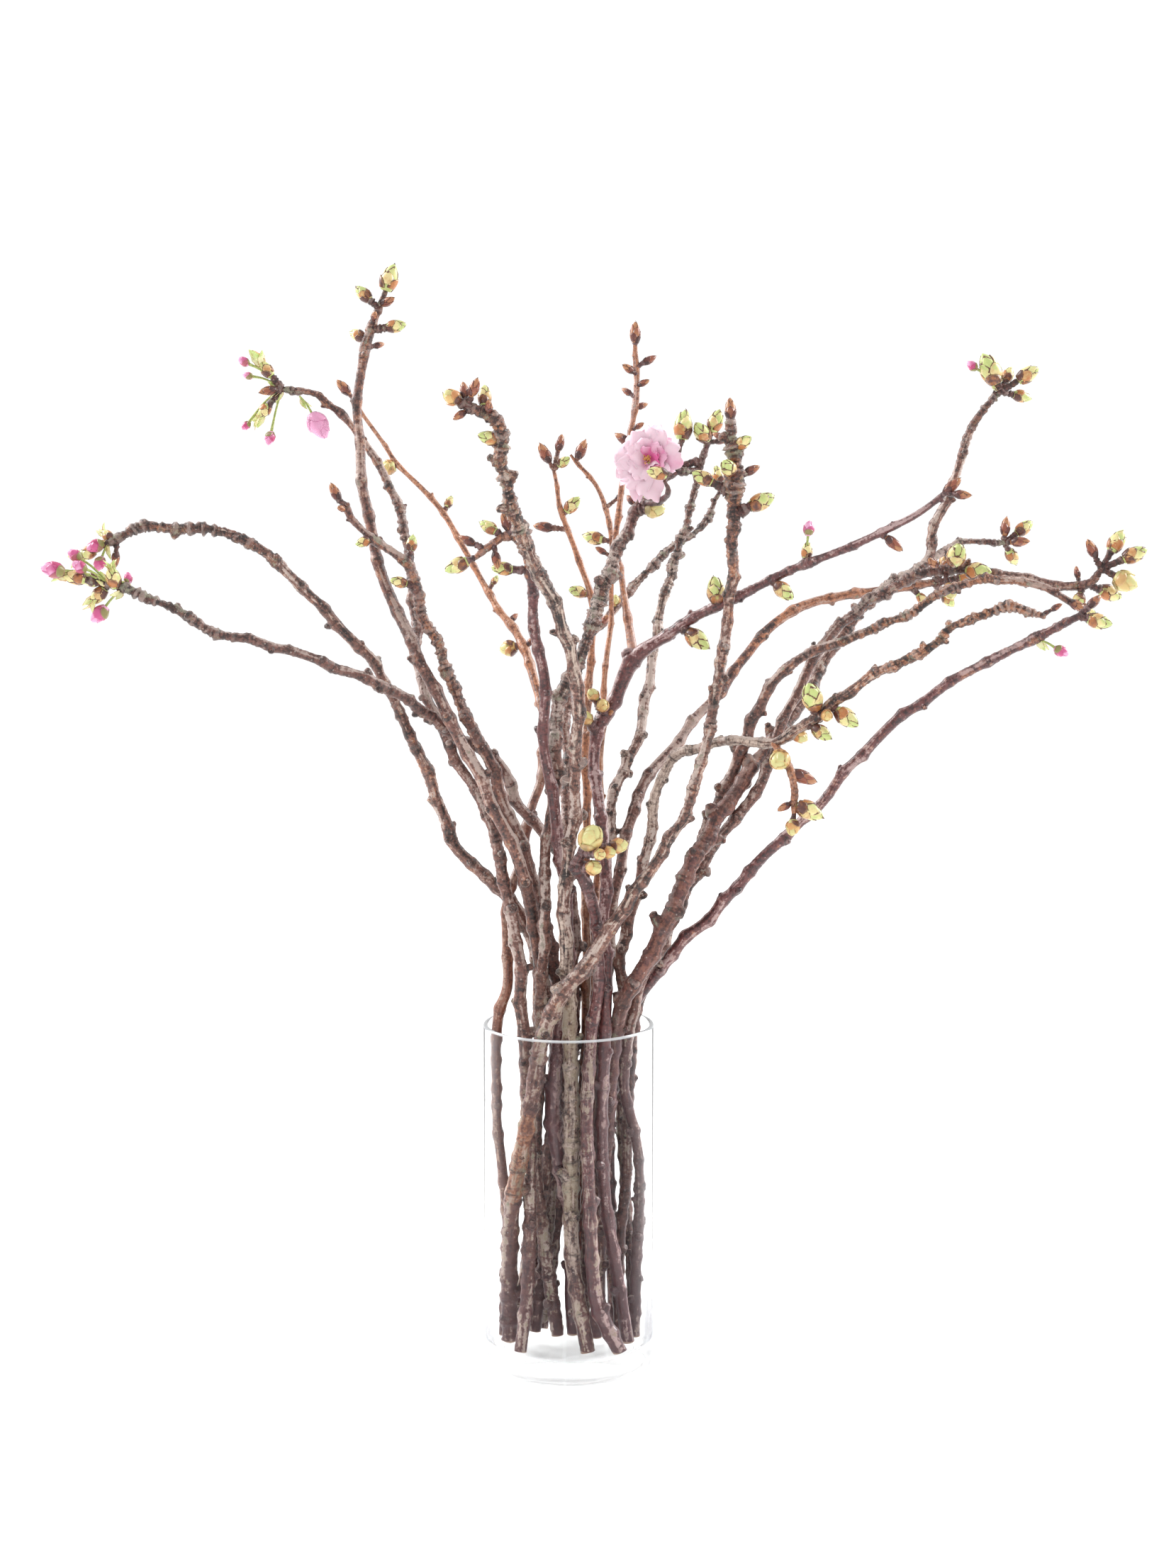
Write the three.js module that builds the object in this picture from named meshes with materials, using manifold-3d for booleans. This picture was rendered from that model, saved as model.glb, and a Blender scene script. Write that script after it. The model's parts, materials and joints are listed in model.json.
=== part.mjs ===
// A clear glass cylinder vase that holds a loose bunch of cut cherry branches, with their buds and
// one open double blossom. Millimetres, +Z up. The origin is the centre of the vase's flat base.
import * as THREE from "three";
import { mergeVertices } from "three/addons/utils/BufferGeometryUtils.js";
import Module from "manifold-3d";

const VASE_RADIUS = 60;
const VASE_HEIGHT = 246;
const WALL = 3.5;
const FLOOR_TOP = 16;
const EDGE = 1.5; // how far the corner under the base is rounded off, and twice that inside
const VASE_SIDES = 36;
const TOUCH_GAP = 0.3; // between a cut foot and the glass that it stands on
const STEM_GAP = 0.7; // between the bark of two branches
const STEM_SIDES = 6;
const RING_STEP = 34; // between two rings of a stem
const BUD_SIDES = 5;
const STALK_RADIUS = 0.95; // of a pink flower bud's green stalk
const STALK_SIDES = 4;
const KNUCKLE = 0.07; // how far every other ring of a stem swells, as a share of its radius

const BLOOM_CENTRE = [55, -4, 637];
const BLOOM_FACING = [-0.18, -0.93, 0.32];
const BLOOM_STALK = [[56, 9, 631], [53, 13, 622]]; // from the cup down, above the branch's head
const BLOOM_STALK_RADIUS = 1.3;
const PETAL_THICKNESS = 0.8;

// Each knot of a route is x, y, z and the girth of the stem there, from its head to its cut foot.
// Each bud is x, y and z of its middle, and its length. A twig grows out of the branch above it.
const BRANCHES = [
  {
    name: "left_arch",
    bark: "grey",
    route: [
      [-312, -30, 583, 5.5], [-286, -30, 593, 6.5], [-240, -28, 591, 7.5], [-210, -25, 579, 7.5],
      [-175, -20, 545, 7.5], [-142, -12, 512, 7.5], [-118, -2, 468, 7.5], [-100, 6, 425, 8],
      [-76, 12, 370, 8.5], [-28, 14, 321, 9], [-14, 12, 265, 9], [-11, 16, 182, 9], [-38, 24, 16, 9],
    ],
    pink: [[-319, -34, 581, 8], [-316, -36, 569, 7]],
    brown: [[-306, -30, 572, 11]],
    green: [[-325, -32, 576, 11], [-312, -27, 588, 9]],
  },
  {
    name: "left_low",
    bark: "grey",
    route: [
      [-304, -80, 558, 5], [-270, -78, 547, 6], [-235, -74, 527, 6.5], [-194, -66, 515, 6.5],
      [-153, -55, 500, 7], [-116, -40, 482, 7.5], [-81, -16, 453, 7.5], [-50, 0, 430, 8],
      [-33, 8, 397, 8], [-8, 14, 366, 8], [-1, 18, 315, 8.5], [-1, 20, 263, 8.5],
      [-4, 24, 180, 9], [-34, 36, 16, 9],
    ],
    pink: [
      [-338, -86, 568, 10], [-325, -77, 577, 7], [-320, -88, 570, 7], [-290, -77, 562, 5],
      [-309, -80, 538, 9],
    ],
    green: [[-325, -82, 563, 12], [-299, -83, 563, 12], [-310, -79, 550, 11], [-316, -75, 561, 11]],
  },
  {
    name: "left_tall",
    bark: "red",
    route: [
      [-128, 60, 756, 4.5], [-140, 52, 724, 6], [-144, 48, 702, 6.5], [-147, 40, 662, 7],
      [-143, 30, 623, 7.5], [-129, 12, 560, 8], [-109, -6, 517, 8.5], [-84, -26, 470, 8.5],
      [-56, -34, 415, 9], [-32, -30, 365, 9], [-21, -10, 317, 9.5], [-15, 2, 267, 9.5],
      [-13, 8, 215, 9.5], [-19, 20, 134, 9.5], [-25, 42, 16, 9.5],
    ],
    brown: [[-126, 53, 748, 12], [-133, 56, 718, 9], [-135, 46, 738, 9]],
    green: [[-125, 60, 765, 18], [-144, 60, 754, 13], [-120, 51, 731, 13], [-148, 56, 725, 12]],
  },
  {
    name: "left_hook",
    bark: "grey",
    route: [
      [-209, 110, 689, 5], [-183, 108, 684, 5], [-157, 100, 662, 5.5], [-133, 88, 629, 6],
      [-116, 70, 584, 6.5], [-108, 40, 523, 7], [-103, 15, 488, 7], [-79, -6, 436, 7.5],
      [-53, -16, 390, 8], [-44, -24, 352, 8.5], [-33, -26, 303, 9], [-27, -22, 239, 9.5],
      [-26, -14, 169, 9.5], [-27, -20, 94, 9.5], [-35, -28, 16, 9.5],
    ],
    pink: [
      [-234, 105, 708, 7], [-232, 112, 698, 6], [-234, 114, 662, 6], [-216, 106, 653, 8],
      [-180, 101, 662, 16],
    ],
    green: [[-219, 110, 703, 13], [-221, 112, 672, 12]],
    brown: [[-217, 106, 687, 13]],
  },
  {
    name: "left_inner",
    bark: "grey",
    route: [
      [-157, -10, 612, 4.5], [-140, -10, 593, 5], [-109, -10, 567, 6.5], [-103, -10, 542, 7],
      [-88, -11, 508, 7.5], [-73, -12, 469, 8], [-54, -14, 432, 9], [-47, -10, 399, 9],
      [-37, -4, 376, 9], [-23, 4, 335, 9], [-9, 18, 264, 9], [-11, 18, 187, 9], [-29, 18, 16, 9],
    ],
    brown: [[-159, -9, 617, 13], [-154, -16, 606, 9], [-133, -5, 584, 8]],
    green: [[-140, -15, 583, 10], [-107, -5, 582, 11], [-116, -14, 556, 11]],
  },
  {
    name: "left_thin",
    bark: "tan",
    route: [
      [-163, 192, 683, 3], [-130, 180, 636, 3.5], [-92, 165, 594, 4.5], [-59, 140, 538, 5],
      [-35, 115, 503, 6.5], [-18, 75, 455, 7], [-19, 50, 417, 7], [-27, 35, 391, 7],
      [-34, 15, 358, 7], [-43, 0, 331, 7], [-42, -8, 274, 8], [-48, -6, 254, 8],
      [-53, 0, 200, 8], [-48, 4, 144, 8], [-44, 8, 96, 8], [-47, 10, 16, 8],
    ],
    brown: [[-170, 190, 691, 14], [-41, 130, 522, 9], [-28, 112, 506, 9]],
    round: [[-137, 180, 631, 13], [-45, 118, 500, 13]],
    green: [[-90, 170, 606, 9], [-55, 142, 549, 7]],
  },
  {
    name: "centre_gnarled",
    bark: "grey",
    route: [
      [-66, -110, 675, 6], [-45, -108, 663, 8], [-42, -100, 635, 9], [-35, -90, 607, 9.5],
      [-21, -76, 569, 9.5], [-8, -66, 543, 9], [1, -56, 514, 8.5], [7, -48, 479, 9],
      [5, -40, 438, 8.5], [4, -34, 398, 9], [-2, -30, 358, 9], [-4, -28, 323, 9.5],
      [-2, -24, 277, 10], [-1, -18, 231, 10.5], [1, -18, 160, 11.5], [4, -22, 79, 11],
      [15, -28, 16, 11],
    ],
    brown: [[-66, -106, 684, 12], [-59, -116, 686, 13], [-50, -115, 674, 10], [-69, -114, 668, 10]],
    round: [[-74, -112, 680, 12]],
    green: [[-53, -104, 681, 13], [-51, -108, 654, 13]],
  },
  {
    name: "centre_red",
    bark: "red",
    route: [
      [-62, -62, 574, 4], [-51, -61, 582, 4.5], [-42, -60, 588, 5], [-33, -58, 586, 5.5],
      [-25, -50, 566, 6.5], [-23, -40, 529, 7.5], [-16, -30, 490, 8], [-16, -22, 440, 8],
      [-11, -18, 405, 8.5], [-5, -12, 367, 8.5], [-2, -8, 324, 8.5], [-5, -10, 275, 9],
      [-11, -14, 230, 10.5], [-15, -14, 184, 12], [-9, -10, 143, 11.5], [-2, 0, 104, 10],
      [3, 12, 16, 10],
    ],
    brown: [[-67, -58, 586, 12], [-41, -60, 599, 13], [-47, -66, 573, 12]],
    green: [[-74, -62, 569, 15], [-53, -57, 595, 12], [-44, -52, 567, 13]],
  },
  {
    name: "centre_tan",
    bark: "tan",
    route: [
      [-11, 60, 633, 3], [-6, 58, 605, 3.5], [7, 54, 569, 4.5], [17, 50, 532, 5],
      [15, 46, 488, 5.5], [12, 40, 438, 6], [13, 36, 388, 6], [12, 30, 313, 6.5],
      [11, 26, 262, 7], [6, 26, 180, 7], [1, 26, 16, 7],
    ],
    brown: [[-17, 57, 643, 15], [-6, 62, 650, 12], [-18, 59, 591, 14]],
    green: [[-3, 55, 637, 10], [3, 56, 607, 13], [6, 48, 546, 12]],
  },
  {
    name: "centre_slim",
    bark: "tan",
    route: [
      [1, 130, 641, 3], [22, 126, 616, 3.5], [31, 118, 578, 4], [30, 108, 529, 4],
      [25, 90, 466, 4.5], [23, 76, 429, 5], [22, 60, 385, 5.5], [18, 40, 311, 6],
      [17, 34, 261, 6.5], [14, 34, 178, 7], [4, 40, 16, 7],
    ],
    brown: [[9, 130, 645, 15], [37, 124, 611, 8], [23, 114, 572, 9]],
    green: [[17, 121, 581, 14]],
  },
  {
    name: "forked",
    bark: "red",
    route: [
      [255, -50, 620, 4], [228, -46, 599, 5], [191, -38, 582, 5.5], [144, -24, 561, 6],
      [104, -8, 540, 7], [68, 8, 518, 8], [46, 18, 499, 12], [32, 22, 472, 10],
      [21, 20, 450, 9], [17, 16, 426, 8.5], [19, 12, 411, 8.5], [27, 0, 373, 9],
      [30, -6, 329, 9], [33, -12, 270, 9], [32, -14, 230, 9.5], [28, -14, 169, 9.5],
      [27, -12, 123, 9.5], [32, -10, 81, 9.5], [42, -5, 16, 10],
    ],
    twig: [
      [47, 70, 721, 4], [48, 68, 692, 4], [41, 60, 638, 4.5], [34, 54, 590, 4.5],
      [38, 46, 546, 5], [46, 24, 503, 8],
    ],
    brown: [
      [257, -50, 622, 14], [219, -45, 583, 14], [29, 17, 463, 9], [47, 70, 727, 15],
      [57, 71, 708, 11], [42, 64, 702, 11], [53, 65, 692, 9], [41, 71, 686, 9],
      [52, 68, 676, 9], [50, 59, 662, 8], [38, 64, 653, 13],
    ],
    green: [[162, -28, 578, 11], [147, -28, 550, 15], [101, -13, 551, 18], [90, -3, 515, 18]],
    round: [[17, 14, 476, 10], [24, 11, 469, 10], [12, 12, 460, 11]],
    pink: [[163, -29, 593, 10]],
  },
  {
    name: "bloom_bearing",
    bark: "grey",
    route: [
      [51, 10, 612, 7], [39, 6, 587, 9], [28, 2, 560, 9.5], [18, -4, 534, 9.5],
      [9, -14, 503, 9], [-1, -14, 488, 9], [-7, -14, 469, 9], [-9, -14, 444, 9.5],
      [-9, -12, 419, 8.5], [-13, -6, 399, 8], [-18, -10, 370, 8], [-18, -22, 322, 8],
      [-19, -24, 282, 8.5], [-19, -22, 239, 8.5], [-23, -8, 157, 9], [-17, 4, 87, 9.5],
      [-8, 10, 16, 10],
    ],
    round: [[60, 6, 605, 14]],
    brown: [[43, 14, 611, 9]],
  },
  {
    name: "back_tall",
    bark: "grey",
    route: [
      [103, 152, 652, 4], [96, 150, 630, 5], [91, 146, 607, 5.5], [80, 134, 572, 6],
      [68, 118, 531, 6.5], [61, 102, 494, 7], [53, 84, 454, 7.5], [48, 72, 429, 7.5],
      [35, 56, 403, 7.5], [32, 44, 377, 7.5], [28, 34, 343, 8], [24, 28, 303, 8],
      [22, 24, 263, 8], [18, 24, 180, 8], [11, 22, 16, 8],
    ],
    twig: [[83, 146, 652, 4], [78, 138, 630, 4.5], [95, 150, 626, 4.5]],
    green: [[108, 150, 666, 16], [97, 145, 658, 17], [84, 147, 663, 20], [65, 130, 624, 13]],
    brown: [[112, 155, 651, 10], [74, 138, 648, 11], [68, 132, 635, 9]],
  },
  {
    name: "back_slant",
    bark: "grey",
    route: [
      [115, 200, 615, 4.5], [100, 194, 587, 5], [75, 184, 569, 5.5], [53, 172, 549, 6],
      [34, 158, 527, 6], [14, 142, 505, 6], [2, 126, 481, 6.5], [-2, 104, 447, 7],
      [-1, 82, 408, 7.5], [-3, 66, 379, 8], [-1, 44, 331, 8], [3, 30, 261, 8],
      [-1, 34, 198, 8], [-24, 30, 16, 8],
    ],
    green: [[112, 203, 625, 14]],
    brown: [[26, 148, 519, 11]],
    round: [[34, 156, 533, 9]],
  },
  {
    name: "crossing",
    bark: "grey",
    route: [
      [110, -20, 665, 7], [113, -20, 638, 11], [112, -22, 586, 8], [110, -26, 543, 7.5],
      [103, -30, 495, 7.5], [93, -36, 444, 7.5], [80, -40, 401, 7.5], [63, -42, 371, 8],
      [44, -44, 344, 8.5], [24, -46, 312, 10.5], [-2, -46, 278, 12], [-16, -44, 247, 11],
      [-22, -40, 206, 11], [-30, -32, 159, 11.5], [-36, -20, 120, 11.5], [-39, -8, 75, 12],
      [-41, -2, 16, 12],
    ],
    brown: [[110, -18, 673, 15], [102, -15, 655, 9], [125, -17, 632, 12]],
    green: [[119, -25, 651, 12], [108, -29, 634, 15], [132, -19, 611, 17], [91, -20, 627, 14]],
  },
  {
    name: "right_tall",
    bark: "grey",
    route: [
      [313, 110, 688, 5], [291, 112, 660, 6], [280, 112, 624, 6.5], [265, 110, 588, 7],
      [258, 106, 564, 8], [219, 92, 538, 8.5], [191, 76, 507, 8.5], [166, 54, 467, 9],
      [138, 30, 434, 10], [107, 2, 394, 11], [79, -16, 353, 12], [59, -22, 309, 12],
      [37, -20, 268, 11], [30, -6, 233, 10.5], [27, 0, 186, 10], [24, 4, 118, 10],
      [19, 4, 16, 10],
    ],
    twig: [[321, 128, 577, 4], [286, 122, 577, 5], [260, 106, 566, 6]],
    brown: [[320, 130, 589, 14], [330, 123, 578, 14]],
    green: [
      [303, 108, 703, 22], [331, 107, 699, 16], [328, 114, 683, 13], [318, 117, 699, 12],
      [334, 131, 588, 14], [326, 133, 566, 13],
    ],
    pink: [[290, 106, 705, 7]],
  },
  {
    name: "right_arch",
    bark: "grey",
    route: [
      [370, 10, 565, 5], [353, 12, 551, 5.5], [309, 16, 558, 6], [270, 20, 564, 6.5],
      [227, 24, 551, 7], [187, 26, 521, 7.5], [153, 22, 465, 7.5], [133, 14, 414, 8],
      [103, 8, 372, 8.5], [78, 2, 323, 8.5], [58, -2, 287, 8.5], [45, -2, 255, 8.5],
      [37, 6, 197, 8], [46, 6, 154, 8], [50, 4, 113, 8.5], [48, 6, 66, 8.5], [47, 7, 16, 9],
    ],
    brown: [[361, 7, 578, 14], [353, 16, 561, 9]],
    green: [[380, 14, 583, 16], [391, 5, 574, 16], [377, 17, 546, 16]],
    round: [[385, 5, 555, 17]],
  },
  {
    name: "right_twin",
    bark: "grey",
    route: [
      [341, -30, 543, 5], [307, -28, 558, 5.5], [262, -24, 553, 6], [234, -20, 535, 6],
      [196, -14, 519, 6.5], [153, -2, 497, 7], [132, 10, 465, 8], [120, 24, 427, 9],
      [100, 28, 383, 9], [77, 22, 334, 8.5], [57, 18, 289, 8.5], [44, 16, 254, 8.5],
      [37, 18, 192, 8], [38, 18, 16, 8],
    ],
    brown: [[345, -35, 541, 13]],
    green: [[353, -28, 537, 12]],
  },
  {
    name: "right_orange",
    bark: "tan",
    route: [
      [275, 170, 546, 6], [226, 162, 539, 7], [183, 152, 533, 7.5], [148, 138, 514, 7.5],
      [112, 112, 471, 7.5], [76, 86, 434, 7.5], [54, 68, 410, 8], [41, 50, 381, 8],
      [33, 34, 343, 8], [30, 24, 298, 8], [30, 22, 263, 8], [25, 22, 181, 8], [21, 18, 16, 8],
    ],
    green: [[285, 168, 564, 19], [300, 172, 549, 16], [264, 163, 533, 10], [285, 174, 532, 12]],
    brown: [[263, 173, 553, 10]],
  },
  {
    name: "right_drooping",
    bark: "grey",
    route: [
      [313, -96, 538, 5], [290, -94, 544, 5.5], [257, -88, 531, 6], [238, -84, 515, 6.5],
      [205, -74, 498, 7], [179, -64, 478, 7], [139, -46, 449, 7], [113, -32, 449, 6.5],
      [92, -20, 443, 6.5], [75, -12, 437, 7], [62, -4, 414, 7], [57, 2, 378, 7.5],
      [51, 6, 345, 7.5], [45, 10, 316, 8], [39, 12, 285, 8], [37, 14, 254, 8],
      [33, 28, 189, 8], [44, 20, 16, 8],
    ],
    twig: [[152, -66, 402, 4], [152, -64, 419, 4.5], [150, -60, 435, 5], [142, -47, 449, 5]],
    green: [[163, -68, 483, 20], [187, -70, 468, 17], [171, -62, 457, 14], [163, -67, 405, 18]],
    round: [[173, -73, 470, 9], [142, -63, 439, 16], [157, -52, 454, 11], [151, -69, 394, 11]],
    brown: [[320, -97, 544, 8], [159, -60, 427, 18], [145, -68, 408, 10]],
  },
  {
    name: "right_low",
    bark: "red",
    route: [
      [343, -60, 536, 6], [322, -58, 525, 6.5], [285, -54, 506, 7], [251, -48, 485, 7],
      [222, -40, 462, 7.5], [197, -32, 436, 7.5], [176, -26, 406, 7.5], [136, -20, 371, 8],
      [99, -12, 326, 8.5], [68, -6, 291, 9], [45, 4, 249, 9], [38, 14, 211, 9],
      [33, 28, 158, 9], [36, 34, 16, 9],
    ],
    pink: [[330, -61, 512, 8]],
    green: [[355, -64, 532, 15]],
    brown: [[352, -57, 545, 12]],
  },
  {
    name: "short_front",
    bark: "red",
    route: [
      [10, -56, 377, 7], [7, -52, 364, 8], [15, -40, 342, 8.5], [21, -28, 313, 8.5],
      [20, -26, 273, 8.5], [16, -26, 240, 9], [13, -28, 193, 9.5], [14, -28, 122, 9.5],
      [16, -26, 70, 10], [20, -26, 47, 11], [36, -30, 16, 11],
    ],
    round: [
      [16, -62, 387, 19], [22, -68, 376, 9], [28, -59, 376, 10], [35, -55, 380, 12],
      [18, -62, 366, 12],
    ],
  },
];

// How thick a bud of each kind is, as a share of its length.
const BUD_FULLNESS = { green: 0.6, brown: 0.44, round: 0.82, pink: 0.66 };
const BARK_COLOURS = { grey: 0x6f6258, red: 0x5b3433, tan: 0xa8764e };

const FINISHES = {
  glass: new THREE.MeshStandardMaterial({ color: 0xe9eff0, roughness: 0.05, metalness: 0 }),
  petals: new THREE.MeshStandardMaterial({ color: 0xf0c4dc, roughness: 0.6, metalness: 0 }),
};
for (const [bark, color] of Object.entries(BARK_COLOURS)) {
  FINISHES[bark] = new THREE.MeshStandardMaterial({ color, roughness: 0.85, metalness: 0 });
}

const { Manifold, Mesh } = await openManifold();

async function openManifold() {
  const wasm = await Module();
  wasm.setup();
  return wasm;
}

// A closed three.js geometry as a solid that can be joined, with its faces turned to point out.
function solidOf(geometry) {
  const bare = new THREE.BufferGeometry();
  bare.setAttribute("position", geometry.getAttribute("position"));
  bare.setIndex(geometry.index);
  const merged = mergeVertices(bare, 1e-4);
  const corners = merged.index.array;
  const triangles = [];
  for (let i = 0; i < corners.length; i += 3) {
    const [a, b, c] = corners.slice(i, i + 3);
    if (a !== b && b !== c && c !== a) triangles.push([a, b, c]);
  }
  const vertProperties = new Float32Array(merged.attributes.position.array);
  const solidFrom = (faces) =>
    new Manifold(new Mesh({ numProp: 3, vertProperties, triVerts: new Uint32Array(faces.flat()) }));
  const solid = solidFrom(triangles);
  return solid.volume() > 0 ? solid : solidFrom(triangles.map(([a, b, c]) => [a, c, b]));
}

function meshOf(name, solid, finish) {
  const { vertProperties, triVerts } = solid.getMesh();
  const geometry = new THREE.BufferGeometry();
  geometry.setAttribute("position", new THREE.BufferAttribute(vertProperties, 3));
  geometry.setIndex(new THREE.BufferAttribute(triVerts, 1));
  geometry.computeVertexNormals();
  const mesh = new THREE.Mesh(geometry, finish);
  mesh.name = name;
  return mesh;
}

// The rings of a stem: a curve through its knots, with a ring about every RING_STEP.
function ringsOf(knots) {
  const rings = [];
  const last = knots.length - 1;
  for (let k = 0; k < last; k++) {
    const here = knots[k];
    const next = knots[k + 1];
    const before = k > 0 ? knots[k - 1] : here.map((value, n) => 2 * value - next[n]);
    const after = k + 2 <= last ? knots[k + 2] : next.map((value, n) => 2 * value - here[n]);
    const length = Math.hypot(next[0] - here[0], next[1] - here[1], next[2] - here[2]);
    const steps = Math.max(1, Math.round(length / RING_STEP));
    for (let s = 0; s < steps; s++) {
      const t = s / steps;
      const place = [0, 1, 2].map((n) => catmullRom(before[n], here[n], next[n], after[n], t));
      rings.push({ place, radius: (here[3] + (next[3] - here[3]) * t) / 2 });
    }
  }
  rings.push({ place: knots[last].slice(0, 3), radius: knots[last][3] / 2 });
  return rings;
}

function catmullRom(p0, p1, p2, p3, t) {
  const bend = (2 * p0 - 5 * p1 + 4 * p2 - p3) * t * t;
  const turn = (3 * p1 - p0 - 3 * p2 + p3) * t * t * t;
  return p1 + ((p2 - p0) * t + bend + turn) / 2;
}

// Where two straight stretches a-b and c-d come closest: the shares along each, and the step between.
function closest(a, b, c, d) {
  const u = [b[0] - a[0], b[1] - a[1], b[2] - a[2]];
  const v = [d[0] - c[0], d[1] - c[1], d[2] - c[2]];
  const w = [a[0] - c[0], a[1] - c[1], a[2] - c[2]];
  const uu = dot(u, u);
  const uv = dot(u, v);
  const vv = dot(v, v);
  const uw = dot(u, w);
  const vw = dot(v, w);
  const spread = uu * vv - uv * uv;
  let s = spread > 1e-9 * uu * vv ? clamp01((uv * vw - vv * uw) / spread) : 0.5;
  const t = clamp01((uv * s + vw) / vv);
  s = clamp01((uv * t - uw) / uu);
  const step = [0, 1, 2].map((n) => c[n] + v[n] * t - a[n] - u[n] * s);
  return { s, t, step, distance: Math.hypot(...step) };
}

function dot(a, b) {
  return a[0] * b[0] + a[1] * b[1] + a[2] * b[2];
}

function clamp01(value) {
  return Math.min(1, Math.max(0, value));
}

// Loose branches push each other aside until their bark is clear, mostly to the front and back, and
// the vase's wall holds them in. A push on one ring is shared with its neighbours, so stems stay smooth.
const SETTLE_ROUNDS = 260;
const SHARE = [0.3, 0.6, 0.85, 1, 0.85, 0.6, 0.3];
const MOST_SHIFT = 1.2; // of one ring in one round
const PUSH = 0.3; // how much of an overlap one round takes away
const SIDE_PUSH = 0.45; // a push to the side, against one to the back
const WALL_GAP = 0.9; // between the bark and the glass
const REACH = 16; // stems further apart than this leave each other alone

function settle(stems) {
  for (let round = 0; round < SETTLE_ROUNDS; round++) {
    const pushes = stems.map((stem) => stem.rings.map(() => [0, 0]));
    for (let a = 0; a < stems.length; a++) {
      for (let b = a + 1; b < stems.length; b++) {
        if (stems[a].branch !== stems[b].branch) pushApart(stems[a], stems[b], pushes[a], pushes[b]);
      }
    }
    stems.forEach((stem, n) => shift(stem.rings, pushes[n]));
    for (const stem of stems) {
      if (stem.parent) stem.rings.at(-1).place = [...stem.parent.rings[stem.seat].place];
    }
  }
}

function pushApart(one, other, pushesOne, pushesOther) {
  for (let i = 0; i + 1 < one.rings.length; i++) {
    const a = one.rings[i];
    const b = one.rings[i + 1];
    for (let j = 0; j + 1 < other.rings.length; j++) {
      const c = other.rings[j];
      const d = other.rings[j + 1];
      if (apart(a.place, b.place, c.place, d.place)) continue;
      const near = closest(a.place, b.place, c.place, d.place);
      const wanted = Math.max(a.radius, b.radius) + Math.max(c.radius, d.radius) + STEM_GAP;
      const lack = wanted * (1 + KNUCKLE) - near.distance;
      if (lack <= 0) continue;
      const way = sideways(near.step, near.distance);
      for (let n = 0; n < 2; n++) {
        const push = way[n] * lack * PUSH;
        pushesOne[i][n] -= push * (1 - near.s);
        pushesOne[i + 1][n] -= push * near.s;
        pushesOther[j][n] += push * (1 - near.t);
        pushesOther[j + 1][n] += push * near.t;
      }
    }
  }
}

function apart(a, b, c, d) {
  for (let n = 0; n < 3; n++) {
    if (Math.max(a[n], b[n]) + REACH < Math.min(c[n], d[n])) return true;
    if (Math.max(c[n], d[n]) + REACH < Math.min(a[n], b[n])) return true;
  }
  return false;
}

// The level way to push: along the step between two stems, but more to the back than to the side.
function sideways(step, distance) {
  const x = (SIDE_PUSH * step[0]) / distance;
  const y = step[1] / distance;
  const length = Math.hypot(x, y);
  const tooSteep = length < 0.15;
  if (tooSteep) return [0, y < 0 ? -1 : 1];
  return [x / length, y / length];
}

function shift(rings, pushes) {
  const reach = (SHARE.length - 1) / 2;
  const moves = rings.map((ring, k) => {
    const move = [0, 0];
    for (let m = -reach; m <= reach; m++) {
      const push = pushes[k + m];
      if (!push) continue;
      move[0] += push[0] * SHARE[m + reach];
      move[1] += push[1] * SHARE[m + reach];
    }
    return move;
  });
  rings.forEach((ring, k) => {
    for (let n = 0; n < 2; n++) {
      ring.place[n] += Math.min(MOST_SHIFT, Math.max(-MOST_SHIFT, moves[k][n]));
    }
    const corner = ring.place[2] < FLOOR_TOP + 4 * EDGE ? 2 * EDGE : 0;
    const room = VASE_RADIUS - WALL - corner - ring.radius * (1 + KNUCKLE) - WALL_GAP;
    const out = Math.hypot(ring.place[0], ring.place[1]);
    if (ring.place[2] < VASE_HEIGHT + 2 * ring.radius && out > room) {
      ring.place[0] *= room / out;
      ring.place[1] *= room / out;
    }
  });
}

// A round stem bent along its rings, with every other ring a little swollen like a knuckle.
function bentStem(rings, onFloor) {
  const tube = new THREE.CylinderGeometry(1, 1, 1, STEM_SIDES, rings.length - 1);
  const corners = tube.getAttribute("position");
  const frames = framesAlong(rings, onFloor);
  for (let i = 0; i < corners.count; i++) {
    const row = Math.round((0.5 - corners.getY(i)) * (rings.length - 1));
    const { side, up } = frames[row];
    const swell = row % 2 ? 1 + KNUCKLE : 1 - KNUCKLE / 2;
    const corner = new THREE.Vector3(...rings[row].place);
    corner.addScaledVector(side, corners.getX(i) * rings[row].radius * swell);
    corner.addScaledVector(up, corners.getZ(i) * rings[row].radius * swell);
    corners.setXYZ(i, corner.x, corner.y, corner.z);
  }
  return solidOf(tube);
}

function framesAlong(rings, onFloor) {
  const frames = [];
  let side = new THREE.Vector3(0, 1, 0);
  rings.forEach((ring, k) => {
    const above = new THREE.Vector3(...rings[Math.max(0, k - 1)].place);
    const below = new THREE.Vector3(...rings[Math.min(rings.length - 1, k + 1)].place);
    const along = above.sub(below).normalize();
    if (onFloor && k === rings.length - 1) along.set(0, 0, 1);
    side = side.clone().addScaledVector(along, -side.dot(along)).normalize();
    frames.push({ side, up: new THREE.Vector3().crossVectors(side, along) });
  });
  return frames;
}

// The place on a branch's stems that a bud grows from: the nearest, and a little below it, because a
// bud points up its stem. A bud at the very head starts just under it.
const ROOT_BELOW = 0.5; // as a share of how far the bud stands off
const ROOT_UNDER_HEAD = 2;

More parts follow.
